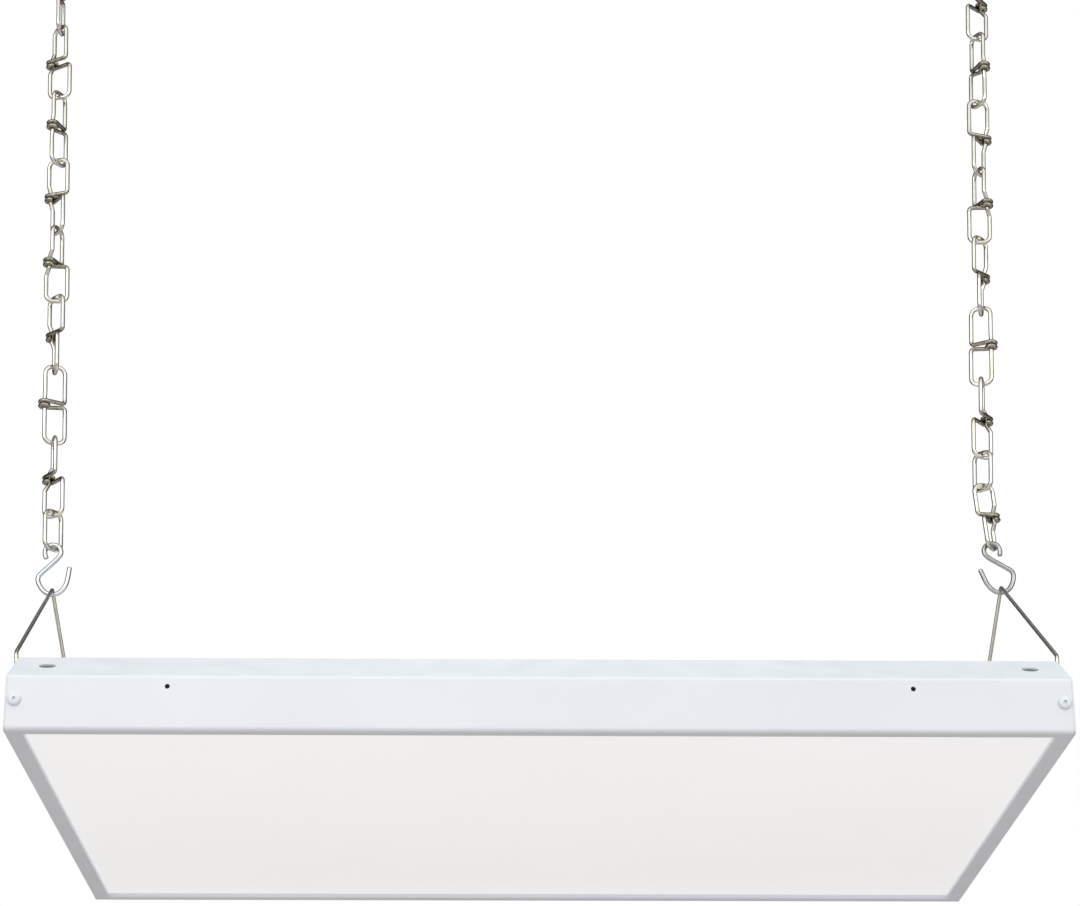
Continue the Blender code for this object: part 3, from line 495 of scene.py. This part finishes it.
def wire_mesh(name, points, radius, sides=16, ring=False, radii=None, shades=None):
    """A round wire along the points. Its UV runs along and around it."""
    radii = radii or [radius] * len(points)
    shades = shades or [0.0] * len(points)
    stations = wire_stations(points, radii, shades, ring, DOME_DEPTH * radius)
    shape = bmesh.new()
    uv = shape.loops.layers.uv.new("UVMap")
    shade_layer = shape.verts.layers.float.new("shade")
    normal = stations[0][1].orthogonal().normalized()
    hoops, runs = [], [0.0]
    for i, (point, tangent, reach, shade) in enumerate(stations):
        if i:
            last_point, last_tangent = stations[i - 1][:2]
            normal = last_tangent.rotation_difference(tangent) @ normal
            runs.append(runs[-1] + (point - last_point).length)
        sideways = tangent.cross(normal)
        hoops.append([])
        for k in range(sides):
            angle = 2 * math.pi * k / sides
            out = normal * math.cos(angle) + sideways * math.sin(angle)
            vert = shape.verts.new(point + out * reach)
            vert[shade_layer] = shade
            hoops[-1].append(vert)
    if ring:
        runs.append(runs[-1] + (points[0] - points[-1]).length)
    skin_wire(shape, uv, hoops, runs, ring)
    bmesh.ops.recalc_face_normals(shape, faces=shape.faces)
    return mesh_of(name, shape, WIRE_SHARP_ANGLE)


def turned_mesh(name, profile, segments=48):
    """A profile of radius and height, turned about Z."""
    shape = bmesh.new()
    verts = [shape.verts.new((radius, 0, z)) for radius, z in profile]
    edges = [shape.edges.new(pair) for pair in zip(verts, verts[1:])]
    bmesh.ops.spin(
        shape,
        geom=[*verts, *edges],
        cent=(0, 0, 0),
        axis=(0, 0, 1),
        angle=2 * math.pi,
        steps=segments,
        use_merge=True,
    )
    bmesh.ops.remove_doubles(shape, verts=shape.verts, dist=0.001 * MM)
    bmesh.ops.holes_fill(shape, edges=shape.edges)
    bmesh.ops.recalc_face_normals(shape, faces=shape.faces)
    return mesh_of(name, shape)


def turn_up_to(axis):
    """The turn that takes Z to an axis."""
    return Vector((0, 0, 1)).rotation_difference(Vector(axis)).to_matrix().to_4x4()


def rod_mesh(name, radius, length, axis, sides=40):
    shape = bmesh.new()
    bmesh.ops.create_cone(
        shape,
        cap_ends=True,
        segments=sides,
        radius1=radius,
        radius2=radius,
        depth=length,
        matrix=turn_up_to(axis),
    )
    return mesh_of(name, shape)


def box_mesh(name, size, bevel):
    shape = bmesh.new()
    bmesh.ops.create_cube(shape, size=1, matrix=Matrix.Diagonal((*size, 1)))
    bmesh.ops.bevel(shape, geom=shape.edges, offset=bevel, segments=2, affect="EDGES", profile=0.5)
    return mesh_of(name, shape)


def helper(name, mesh, place=(0, 0, 0)):
    """An object for modifiers and Booleans, removed again by baked."""
    made = bpy.data.objects.new(name, mesh)
    made.location = place
    bpy.context.scene.collection.objects.link(made)
    return made


def boolean(obj, other, operation):
    made = obj.modifiers.new(other.name, "BOOLEAN")
    made.operation = operation
    made.object = other


def ease_rims(obj, width, segments, least_angle=60):
    """Rounds a helper's edges that turn by more than an angle."""
    ease = obj.modifiers.new("eased_rims", "BEVEL")
    ease.width = width
    ease.segments = segments
    ease.limit_method = "ANGLE"
    ease.angle_limit = math.radians(least_angle)


def baked(obj):
    """The mesh of an object with its modifiers applied; the object itself is removed."""
    bpy.context.view_layer.update()
    mesh = bpy.data.meshes.new_from_object(obj.evaluated_get(bpy.context.evaluated_depsgraph_get()))
    mesh.transform(obj.matrix_world)
    others = {made.object for made in obj.modifiers if made.type == "BOOLEAN"}
    for other in [obj, *others]:
        bpy.data.objects.remove(other)
    return mesh


def finished(obj):
    """The baked mesh of a helper, with its flats shaded flat and only its bends shaded round."""
    mesh = baked(obj)
    mesh.shade_smooth()
    mesh.set_sharp_from_angle(angle=math.radians(SHARP_ANGLE))
    weighed = helper("weighed", mesh)
    made = weighed.modifiers.new("weights", "WEIGHTED_NORMAL")
    made.keep_sharp = True
    made.weight = 100
    return baked(weighed)


def folded_helper(name, section, direction, half_length, side):
    """A sheet folded to a section line, run along direction and thickened to one side."""
    shape = bmesh.new()
    run = Vector(direction) * half_length
    near = [shape.verts.new(point - run) for point in section]
    far = [shape.verts.new(point + run) for point in section]
    for i in range(len(section) - 1):
        shape.faces.new((near[i], near[i + 1], far[i + 1], far[i]))
    obj = helper(name, mesh_of(name, shape), lamp_point(0, 0, 0))
    solid = obj.modifiers.new("thickness", "SOLIDIFY")
    solid.thickness = SHEET
    solid.offset = side
    solid.use_even_offset = True
    ease_rims(obj, EDGE, 2)
    return obj


# ---------------------------------------------------------------- hood


def hood_outline():
    half = DEPTH / 2
    front = [(-half, 0), (-half, FACE_HEIGHT), (-half + SHOULDER_RUN, HEIGHT)]
    return front + [(-y, z) for y, z in reversed(front)]


def across(points):
    return [Vector((0, y, z)) for y, z in points]


def settle_shading(section, reach=1.5 * MM):
    """Adds a point near each end of each long flat, to keep the bends' shading in the bends."""
    line = [section[0]]
    for before, after in zip(section, section[1:]):
        length = (after - before).length
        if length > 4 * reach:
            line += [before.lerp(after, reach / length), after.lerp(before, reach / length)]
        line.append(after)
    return line


def hood_holes():
    """Rods for the hood's screw, face and shoulder holes and the gland's, with their places."""
    half, rise = DEPTH / 2, HEIGHT - FACE_HEIGHT
    rods = []
    for side in SIDE_NAMES:
        for facing, _ in ENDS:
            spot = lamp_point(side * (LENGTH / 2 - SCREW_INSET), facing * half, SCREW_HEIGHT)
            rods.append((rod_mesh("hole", SCREW_HOLE, 12 * MM, (0, 1, 0)), spot))
            spot = lamp_point(side * SMALL_HOLE_X, facing * half, SMALL_HOLE_HEIGHT)
            rods.append((rod_mesh("hole", SMALL_HOLE_RADIUS, 8 * MM, (0, 1, 0)), spot))
            normal = Vector((0, facing * rise, SHOULDER_RUN)).normalized()
            y = facing * (half - SHOULDER_RUN * SHOULDER_HOLE_SHARE)
            spot = lamp_point(side * SHOULDER_HOLE_X, y, FACE_HEIGHT + rise * SHOULDER_HOLE_SHARE)
            rods.append((rod_mesh("hole", SHOULDER_HOLE_RADIUS, 12 * MM, normal, 56), spot))
    rods.append((rod_mesh("hole", GLAND_BARREL_RADIUS + SEAM, 8 * MM, (0, 0, 1)), gland_place()))
    return rods


def make_housing():
    half = DEPTH / 2
    front_lip = [(-half + LIP, LIP_RETURN), (-half + LIP, 0)]
    back_lip = [(half - LIP, 0), (half - LIP, LIP_RETURN)]
    corners = across(front_lip + hood_outline() + back_lip)
    section = settle_shading(rounded(corners, (LIP_BEND, *[BEND] * 6, LIP_BEND)))
    housing = folded_helper("hood", section, (1, 0, 0), LENGTH / 2 - SHEET - EDGE_SEAM, 1)
    for mesh, spot in hood_holes():
        boolean(housing, helper("hole_cutter", mesh, spot), "DIFFERENCE")
    piece("hood_sheet", finished(housing), COAT, "lamp", ["housing_shell"])


def cap_plate(side):
    """A flat plate in the hood's outline, its rims eased."""
    outer = side * LENGTH / 2
    bottom_middle = Vector((0, 0, 0))
    outline = rounded([bottom_middle, *across(hood_outline()), bottom_middle], BEND)[1:-1]
    shape = bmesh.new()
    face = shape.faces.new([shape.verts.new((outer, point.y, point.z)) for point in outline])
    raised = bmesh.ops.extrude_face_region(shape, geom=[face])
    moved = [item for item in raised["geom"] if isinstance(item, bmesh.types.BMVert)]
    bmesh.ops.translate(shape, verts=moved, vec=(-side * SHEET, 0, 0))
    bmesh.ops.recalc_face_normals(shape, faces=shape.faces)
    plate = helper("cap", mesh_of("cap", shape), lamp_point(0, 0, 0))
    ease_rims(plate, 0.25 * MM, 3)
    return plate


def cap_lip(side):
    """The lip that an end plate turns in under the lamp, with its raised rim."""
    outer = side * LENGTH / 2
    corners = [
        Vector((outer - side * SHEET / 2, 0, 0)),
        Vector((outer - side * LIP, 0, 0)),
        Vector((outer - side * LIP, 0, LIP_RETURN)),
    ]
    section = rounded(corners, LIP_BEND)
    return folded_helper("cap_lip", section, (0, 1, 0), DEPTH / 2 - LIP - SEAM, -side)


def make_end_cap(side, name):
    """An end plate with its lip, its tabs behind the hood's faces and top, and its holes."""
    half = DEPTH / 2
    cap = cap_plate(side)
    boolean(cap, cap_lip(side), "UNION")
    tab_x = side * (LENGTH / 2 - SHEET / 2 - TAB / 2)
    for facing, _ in ENDS:
        y = facing * (half - SHEET - SEAM - SHEET / 2)
        tab = box_mesh("tab", (TAB + SHEET * 0.8, SHEET, 22 * MM), EDGE)
        boolean(cap, helper("cap_tab", tab, lamp_point(tab_x, y, SCREW_HEIGHT - 1 * MM)), "UNION")
        hole = rod_mesh("hole", SCREW_HOLE, 8 * MM, (0, 1, 0))
        spot = lamp_point(side * (LENGTH / 2 - SCREW_INSET), y, SCREW_HEIGHT)
        boolean(cap, helper("cap_cutter", hole, spot), "DIFFERENCE")
        hole = rod_mesh("hole", FOOT_HOLE_RADIUS, 8 * MM, (1, 0, 0))
        spot = lamp_point(side * LENGTH / 2, facing * (half - FOOT_FROM_EDGE), FOOT_HEIGHT)
        boolean(cap, helper("cap_cutter", hole, spot), "DIFFERENCE")
    top_tab = box_mesh("tab", (TAB + SHEET * 0.8, 300 * MM, SHEET), EDGE)
    height = HEIGHT - SHEET - SEAM - SHEET / 2
    boolean(cap, helper("cap_tab", top_tab, lamp_point(tab_x, 0, height)), "UNION")
    mesh = finished(cap)
    piece(f"end_plate_{name}", mesh, COAT, "lamp", [f"end_cap_{name}"])


def screw_profile():
    """A button head's outline from its crown down over the rim, and its shank."""
    flat = SCREW_CROWN * 0.35
    profile = [(0.0, SCREW_HEAD)]
    for step in range(1, 9):
        angle = math.pi / 2 * step / 8
        radius = flat + (SCREW_RIM - flat) * math.sin(angle)
        profile.append((radius, SCREW_HEAD * (0.25 + 0.75 * math.cos(angle))))
    profile += [(SCREW_RIM - 0.15 * MM, 0), (SCREW_SHANK, 0), (SCREW_SHANK, -SCREW_LENGTH)]
    return [*profile, (0.0, -SCREW_LENGTH - 0.8 * MM)]


def make_end_screws():
    """Four painted button-head screws with a small hex socket, one at each corner of the hood."""
    for side, name in SIDE_NAMES.items():
        for facing, where in ENDS:
            screw = helper("screw", turned_mesh("screw", screw_profile()))
            socket = rod_mesh("socket", SCREW_SOCKET, 2.6 * MM, (0, 0, 1), 6)
            boolean(screw, helper("socket", socket, (0, 0, SCREW_HEAD)), "DIFFERENCE")
            mesh = finished(screw)
            x, y = side * (LENGTH / 2 - SCREW_INSET), facing * (DEPTH / 2 + 0.25 * MM)
            place = Matrix.Translation(lamp_point(x, y, SCREW_HEIGHT))
            turn = turn_up_to((0, facing, 0)) @ Matrix.Rotation(side + facing, 4, "Z")
            mesh.transform(place @ turn)
            cad = f"end_screw_{where}_{name}"
            piece(f"button_screw_{where}_{name}", mesh, COAT, "lamp", [cad])


def make_diffuser():
    low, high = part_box("diffuser")
    mesh = box_mesh("opal_sheet", high - low, 0.4 * MM)
    mesh.transform(Matrix.Translation((low + high) / 2))
    piece("opal_sheet", mesh, OPAL, "lamp", ["diffuser"])


def gland_place():
    low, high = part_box("cord_gland")
    return Vector(((low.x + high.x) / 2, (low.y + high.y) / 2, HOOD_HIGH.z))


def gland_dome():
    """The outline of the gland's grip and crown, in radius and height above the hood."""
    foot = GLAND_FLANGE_THICKNESS
    outline = [(0.0, foot), (GLAND_BARREL_RADIUS, foot)]
    outline += [(GLAND_RADIUS, foot + 0.2 * MM), (GLAND_RADIUS, GLAND_GRIP_TOP)]
    for step in range(1, 9):
        angle = math.pi / 2 * step / 8
        radius = GLAND_CROWN_RADIUS + GLAND_CROWN_BEND * math.cos(angle)
        outline.append((radius, GLAND_CROWN_HEIGHT + GLAND_CROWN_BEND * math.sin(angle)))
    return [*outline, (0.0, GLAND_CROWN_HEIGHT + GLAND_CROWN_BEND)]


def make_gland():
    """The cord's gland: a hex flange, a ribbed dome, and the hollow barrel."""
    flange = rod_mesh("flange", GLAND_FLANGE_RADIUS, GLAND_FLANGE_THICKNESS, (0, 0, 1), 6)
    body = helper("flange", flange, (0, 0, SEAM + GLAND_FLANGE_THICKNESS / 2))
    ease_rims(body, 0.6 * MM, 3, 30)
    boolean(body, helper("dome", turned_mesh("dome", gland_dome(), 60)), "UNION")
    for i in range(GLAND_RIBS):
        turn = Matrix.Rotation(2 * math.pi * i / GLAND_RIBS, 4, "Z")
        rib = box_mesh("rib", GLAND_RIB, 0.3 * MM)
        rib.transform(turn @ Matrix.Translation((GLAND_RADIUS - 0.1 * MM, 0, 7.4 * MM)))
        boolean(body, helper("rib", rib), "UNION")
    barrel = rod_mesh("barrel", GLAND_BARREL_RADIUS, GLAND_BARREL_LENGTH, (0, 0, 1))
    boolean(body, helper("barrel", barrel, (0, 0, -1 * MM)), "UNION")
    bore = rod_mesh("bore", GLAND_BORE_RADIUS, 3 * GLAND_BARREL_LENGTH, (0, 0, 1))
    boolean(body, helper("bore", bore), "DIFFERENCE")
    mesh = finished(body)
    mesh.transform(Matrix.Translation(gland_place()))
    piece("gland_body", mesh, NYLON, "lamp", ["cord_gland"])


# ---------------------------------------------------------------- hanging gear


def outward(side, points):
    """Points with X outward from the lamp, turned to one side of it."""
    return [Vector((side * x, y, z)) for x, y, z in points]


def placed(points, matrix):
    return [matrix @ Vector(point) for point in points]


def make_hanger(side, name):
    reach = DEPTH / 2 - FOOT_FROM_EDGE
    half_apex = math.atan2(reach, APEX_RISE[side] - FOOT_RISE)
    apex = APEX_RISE[side] + APEX_BEND * (1 / math.sin(half_apex) - 1)
    half = [(-FOOT_INWARD, -reach, 0), (0, -reach, 0), (0, -reach, FOOT_RISE)]
    corners = [*half, (0, 0, apex), *[(x, -y, z) for x, y, z in reversed(half)]]
    line = rounded(corners, (FOOT_BEND, LEG_BEND, APEX_BEND, LEG_BEND, FOOT_BEND), 10)
    feet = lamp_point(side * (LENGTH / 2 + HANGER_OUTSIDE), 0, FOOT_HEIGHT)
    line = spaced(placed(outward(side, line), standing(side, feet, HANGER_LEAN[side])), 12 * MM)
    bends = feet.z + FOOT_RISE
    # Painted shade: the legs are darkened, the front one more than the back, and the feet and the bends above them
    # are left undarkened.
    shades = []
    for point in line:
        leg_shade = FRONT_LEG_SHADE if point.y < 0 else BACK_LEG_SHADE
        shades.append(leg_shade if point.z > bends + LEG_BEND else 0.0)
    mesh = wire_mesh("hanger", line, HANGER_RADIUS, 18, shades=shades)
    piece(f"hanger_wire_{name}", mesh, HANGER_STEEL, "lamp", [f"v_hanger_{name}"])


def s_hook_line():
    """The S-hook's line from the tip of its eye to the tip of its bowl, above its lowest point."""
    top = S_HEIGHT / MM
    points = [
        (4.0, 0, top - 9.6),
        (5.0, 0, top - 5.6),
        (3.9, 0, top - 1.6),
        (0, 0, top),
        (-4.1, 0, top - 1.6),
        (-5.5, 0, top - 5.4),
        (-3.2, 0, top - 9.8),
        (6.4, 0, 15.6),
        (9.2, 0, 12.2),
        (8.6, 0, 7.6),
        (5.0, 0, 2.2),
        (0, 0, 0),
        (-5.4, 0, 1.6),
        (-9.2, 0, 7.4),
        (-11.3, 0, 18.4),
    ]
    return through([Vector(point) * MM for point in points], 8)


def make_s_hook(side, name):
    eye_centre = up_from(side, CHAIN_ENDS[side], FIRST_LEAN[side], S_RADIUS + SEAM / 2 - S_EYE)
    lowest = up_from(side, eye_centre, S_LEAN[side], S_EYE - S_HEIGHT)
    line = placed(outward(side, s_hook_line()), standing(side, lowest, S_LEAN[side]))
    shades = [S_SHADES[side]] * len(line)
    mesh = wire_mesh("s_hook", line, S_RADIUS, 20, shades=shades)
    piece(f"s_hook_wire_{name}", mesh, HOOK_ZINC, f"{name}_s_hook", [f"s_hook_{name}"])


def loop_corners(half_width, height):
    return [Vector((-half_width, 0, height)), Vector((half_width, 0, height))]


def knot_half(turn, strand, height, flip, half_width, winding):
    """Half a double-loop link: from its middle strand, round the loop, wound on the strand."""
    facing = Matrix.Rotation(turn, 3, "Z")
    wind_height = WIRE + 0.04 * MM
    wind_radius = 2 * WIRE + 0.04 * MM
    leg = facing @ Vector((half_width, 0, 0))
    toward = (strand - leg).normalized()
    across_way = Vector((-toward.y, toward.x, 0)) * flip
    tangent = strand + across_way * wind_radius + Vector((0, 0, wind_height))
    corners = [
        strand,
        strand + Vector((0, 0, NESTING * 1.1)),
        -leg + Vector((0, 0, NESTING * 1.1 + KNOT_LEG)),
        *[facing @ point for point in loop_corners(half_width, height)],
        leg + Vector((0, 0, wind_height)),
        tangent,
    ]
    line = rounded(corners, (3 * MM, 3 * MM, LINK_CORNER, LINK_CORNER, 2.2 * MM), 7)[:-1]
    steps = 22
    for step in range(steps + 1):
        angle = winding * step / steps
        around = across_way * math.cos(angle) + toward * math.sin(angle)
        line.append(strand + around * wind_radius + Vector((0, 0, wind_height)))
    return line


def link_line(upper_turn, lower_turn, pitch, chance):
    """A double-loop link's wire in its own place, with the small differences of wound links."""
    height = (pitch + NESTING) / 2
    upper, lower = math.radians(upper_turn), math.radians(lower_turn)
    widths = [LINK_HALF_WIDTH * chance.uniform(0.96, 1.03) for _ in range(2)]
    windings = [math.radians(chance.uniform(225, 262)) for _ in range(2)]
    upper_leg = Matrix.Rotation(upper, 3, "Z") @ Vector((LINK_HALF_WIDTH, 0, 0))
    lower_leg = Matrix.Rotation(lower, 3, "Z") @ Vector((LINK_HALF_WIDTH, 0, 0))
    if upper_leg.dot(lower_leg) < 0:
        lower_leg = -lower_leg
        lower += math.pi
    strand = -(upper_leg + lower_leg) / 2
    above = knot_half(upper, strand, height, 1, widths[0], windings[0])
    below = knot_half(lower, strand, height, -1, widths[1], windings[1])
    return above[::-1] + [Vector((point.x, point.y, -point.z)) for point in below[1:]]


def ring_line(turn, pitch):
    height = (pitch + NESTING) / 2
    leg = Vector((LINK_HALF_WIDTH, 0, 0))
    end = rounded([-leg, *loop_corners(LINK_HALF_WIDTH, height), leg], LINK_CORNER, 8)[:-1]
    facing = Matrix.Rotation(math.radians(turn), 3, "Z")
    return [facing @ point for point in end] + [facing @ -point for point in end]


def make_chain(side, name, links):
    for number, (node, turns) in enumerate(links.items()):
        low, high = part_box(node)
        lean = FIRST_LEAN[side] if number == 0 else chain_lean(side)
        known = CHAIN_ENDS[side] if number == 0 else HOOK_POINTS[side]
        middle = (low.z + high.z) / 2
        place = up_from(side, known, lean, (middle - known.z) / math.cos(lean))
        pitch = (high.z - low.z) / math.cos(lean) - NESTING - 2 * WIRE
        is_ring = len(turns) == 1
        chance = random.Random(40 * number + side)
        line = ring_line(turns[0], pitch) if is_ring else link_line(*turns, pitch, chance)
        if side == RIGHT:
            line = [Vector((-point.x, point.y, point.z)) for point in line]
        if not is_ring:
            line = spaced(line, 3 * MM)
        # Darker towards each link's windings: partly grime in the windings, partly painted shade where the wire is
        # wound close; rings are darkened a little all over.
        shades = [min(1.0, max(0.06, 1.25 - abs(point.z) / KNOT_REACH)) for point in line]
        if is_ring:
            shades = [0.15] * len(line)
        line = placed(line, standing(side, place, lean))
        mesh = wire_mesh("link", line, WIRE, 14, ring=is_ring, shades=shades)
        body = f"{name}_top_link" if node.startswith("top") else f"{name}_chain"
        label = "ring" if is_ring else "link"
        piece(f"{label}_wire_{name}_{number + 1}", mesh, CHAIN_ZINC, body, [node])


def make_hook_wire(side, name, matrix):
    """The hook's wire, from the collar through the neck and round the bowl to its tip."""
    centre = Vector((0, 0, -HOOK_DROP + HOOK_BOWL))
    above_bowl = centre + Vector((0.3 * MM, 0, HOOK_BOWL + 4 * MM))
    neck = [Vector((0, 0, -1 * MM)), Vector((0, 0, -8 * MM)), above_bowl]
    arc = []
    for step in range(49):
        angle = math.radians(62 - 272 * step / 48)
        arc.append(centre + Vector((math.cos(angle), 0, math.sin(angle))) * HOOK_BOWL)
    join = through([*neck, arc[0], arc[4]], 5)[:-6]
    line = [Vector((-side * point.x, 0, point.z)) for point in join + arc]
    mesh = wire_mesh("hook", placed(line, matrix), HOOK_RADIUS, 20)
    cad = f"ceiling_hook_{name}"
    piece(f"hook_wire_{name}", mesh, HOOK_ZINC, "ceiling_hooks", [cad])


def make_hook_screw(name, matrix):
    """The screw above the collar: a pointed core and a thread that narrows towards the point."""
    shaft = [(0, 0, -1.5 * MM), (0, 0, 0), (0, 0, HOOK_SCREW - HOOK_TIP), (0, 0, HOOK_SCREW)]
    radii = [HOOK_RADIUS, HOOK_CORE, HOOK_CORE, 0.3 * MM]
    mesh = wire_mesh("shaft", placed(shaft, matrix), HOOK_CORE, 20, radii=radii)
    piece(f"hook_shaft_{name}", mesh, HOOK_ZINC, "ceiling_hooks")
    steps = THREAD_TURNS * THREAD_STEPS
    thread, widths = [], []
    for step in range(steps + 1):
        angle = 2 * math.pi * step / THREAD_STEPS
        z = 1.2 * MM + step / steps * (HOOK_SCREW - 3.4 * MM)
        narrow = min(1.0, (HOOK_SCREW - z) / HOOK_TIP)
        radius = HOOK_CORE * narrow + 0.1 * MM
        thread.append(Vector((radius * math.cos(angle), radius * math.sin(angle), z)))
        widths.append(THREAD_RADIUS * (0.55 + 0.45 * narrow))
    mesh = wire_mesh("thread", placed(thread, matrix), THREAD_RADIUS, 8, radii=widths)
    piece(f"hook_thread_{name}", mesh, HOOK_ZINC, "ceiling_hooks")


def make_hook_collar(name, matrix):
    """The pressed collar, with a round rim and a slight taper below."""
    rim = 0.5 * MM
    under = -COLLAR_THICKNESS
    profile = [(0.0, 0.0), (COLLAR_RADIUS - rim, 0.0)]
    for step in range(1, 9):
        angle = math.pi * step / 8
        profile.append((COLLAR_RADIUS - rim + rim * math.sin(angle), -rim + rim * math.cos(angle)))
    profile += [(COLLAR_RADIUS - 2.6 * MM, -1.2 * MM), (3.6 * MM, under), (0.0, under)]
    mesh = turned_mesh("collar", profile, 56)
    mesh.transform(matrix)
    piece(f"hook_collar_{name}", mesh, PLATED, "ceiling_hooks")


def make_ceiling_hook(side, name):
    matrix = Matrix.Translation((HOOK_POINTS[side].x, 0, 0))
    make_hook_wire(side, name, matrix)
    make_hook_screw(name, matrix)
    make_hook_collar(name, matrix)


# ---------------------------------------------------------------- studio


CAMERA_PLACE = (-0.0342, -1.8821, -1.1123)
CAMERA_TURN = (-0.0204, 0.3609, 0.0021)  # yaw, pitch and roll
CAMERA_LENS = 100.5
FLOOR_HEIGHT = -4.2
LAMP_MIDDLE = (0, 0, -0.6)


def make_camera():
    """A long lens that looks up at the lamp from below and in front."""
    data = bpy.data.cameras.new("camera")
    data.lens = CAMERA_LENS
    data.sensor_width = 36
    camera = bpy.data.objects.new("camera", data)
    bpy.context.scene.collection.objects.link(camera)
    yaw, pitch, roll = CAMERA_TURN
    level = Matrix.Rotation(math.pi / 2, 4, "X")
    turn = Matrix.Rotation(yaw, 4, "Z") @ Matrix.Rotation(pitch, 4, "X")
    turn = turn @ Matrix.Rotation(roll, 4, "Y")
    camera.matrix_world = Matrix.Translation(CAMERA_PLACE) @ turn @ level
    bpy.context.scene.camera = camera


def make_light(name, place, target, size, power):
    data = bpy.data.lights.new(name, "AREA")
    data.shape = "RECTANGLE"
    data.size, data.size_y = size
    data.energy = power
    light = bpy.data.objects.new(name, data)
    bpy.context.scene.collection.objects.link(light)
    light.visible_camera = False
    place, target = Vector(place), Vector(target)
    light.rotation_euler = (target - place).to_track_quat("-Z", "Y").to_euler()
    light.location = place


def make_world():
    """White behind the object, lit from the front, with reflections that fall off behind."""
    world = bpy.data.worlds.new("studio")
    bpy.context.scene.world = world
    world.use_nodes = True
    nodes, links = world.node_tree.nodes, world.node_tree.links
    way = nodes.new("ShaderNodeSeparateXYZ")
    links.new(nodes.new("ShaderNodeTexCoord").outputs["Generated"], way.inputs[0])
    path = nodes.new("ShaderNodeLightPath")

    def ramp(axis, start, end, low, high):
        made = nodes.new("ShaderNodeMapRange")
        made.interpolation_type = "SMOOTHSTEP"
        values = {"From Min": start, "From Max": end, "To Min": low, "To Max": high}
        for key, value in values.items():
            made.inputs[key].default_value = value
        links.new(way.outputs[axis], made.inputs["Value"])
        return made.outputs["Result"]

    def backdrop(colour, strength):
        made = nodes.new("ShaderNodeBackground")
        made.inputs["Color"].default_value = colour
        if isinstance(strength, float):
            made.inputs["Strength"].default_value = strength
        else:
            links.new(strength, made.inputs["Strength"])
        return made.outputs[0]

    def either(ray, first, second):
        made = nodes.new("ShaderNodeMixShader")
        links.new(path.outputs[ray], made.inputs["Fac"])
        links.new(first, made.inputs[1])
        links.new(second, made.inputs[2])
        return made.outputs[0]

    total = nodes.new("ShaderNodeMath")
    total.operation = "ADD"
    links.new(ramp("Y", 0.15, -0.85, 0.42, 0.95), total.inputs[0])
    links.new(ramp("Z", 0.45, 0.9, 0.0, 0.8), total.inputs[1])
    light = backdrop((0.98, 0.99, 1.0, 1), total.outputs[0])
    mirrored = backdrop((1.0, 1.0, 1.0, 1), ramp("Y", 0.0, -0.62, 0.11, 1.2))
    seen = backdrop((1, 1, 1, 1), 1.0)
    found = either("Is Camera Ray", either("Is Glossy Ray", light, mirrored), seen)
    links.new(found, nodes["World Output"].inputs["Surface"])


def make_floor():
    shape = bmesh.new()
    bmesh.ops.create_grid(shape, x_segments=1, y_segments=1, size=12)
    floor = bpy.data.objects.new("floor", mesh_of("floor", shape))
    floor.location = (0, 0, FLOOR_HEIGHT)
    bpy.context.scene.collection.objects.link(floor)
    paint = Shader("floor_paint", Roughness=0.8)
    shade = paint.ranged(paint.noise(paint.place(), 2, 2), 0.3, 0.7, 0, 1)
    paint.link(paint.mixed(shade, rgb(0.565, 0.54, 0.525), rgb(0.585, 0.56, 0.545)), "Base Color")
    floor.data.materials.append(paint.material)


make_camera()
make_world()
make_floor()
make_light("key", (-1.5, -2.8, 0.5), LAMP_MIDDLE, (1.6, 1.6), 16)
make_light("fill", (1.8, -2.4, 0.1), LAMP_MIDDLE, (1.4, 1.4), 6)
make_light("top", (0.4, 1.2, 1.9), LAMP_MIDDLE, (2.0, 1.4), 4)
bpy.context.scene.view_settings.view_transform = "Standard"

make_housing()
make_end_screws()
make_diffuser()
make_gland()
for lamp_side, side_name in SIDE_NAMES.items():
    make_end_cap(lamp_side, side_name)
    make_hanger(lamp_side, side_name)
    make_s_hook(lamp_side, side_name)
    make_chain(lamp_side, side_name, LEFT_LINKS if lamp_side == LEFT else RIGHT_LINKS)
    make_ceiling_hook(lamp_side, side_name)
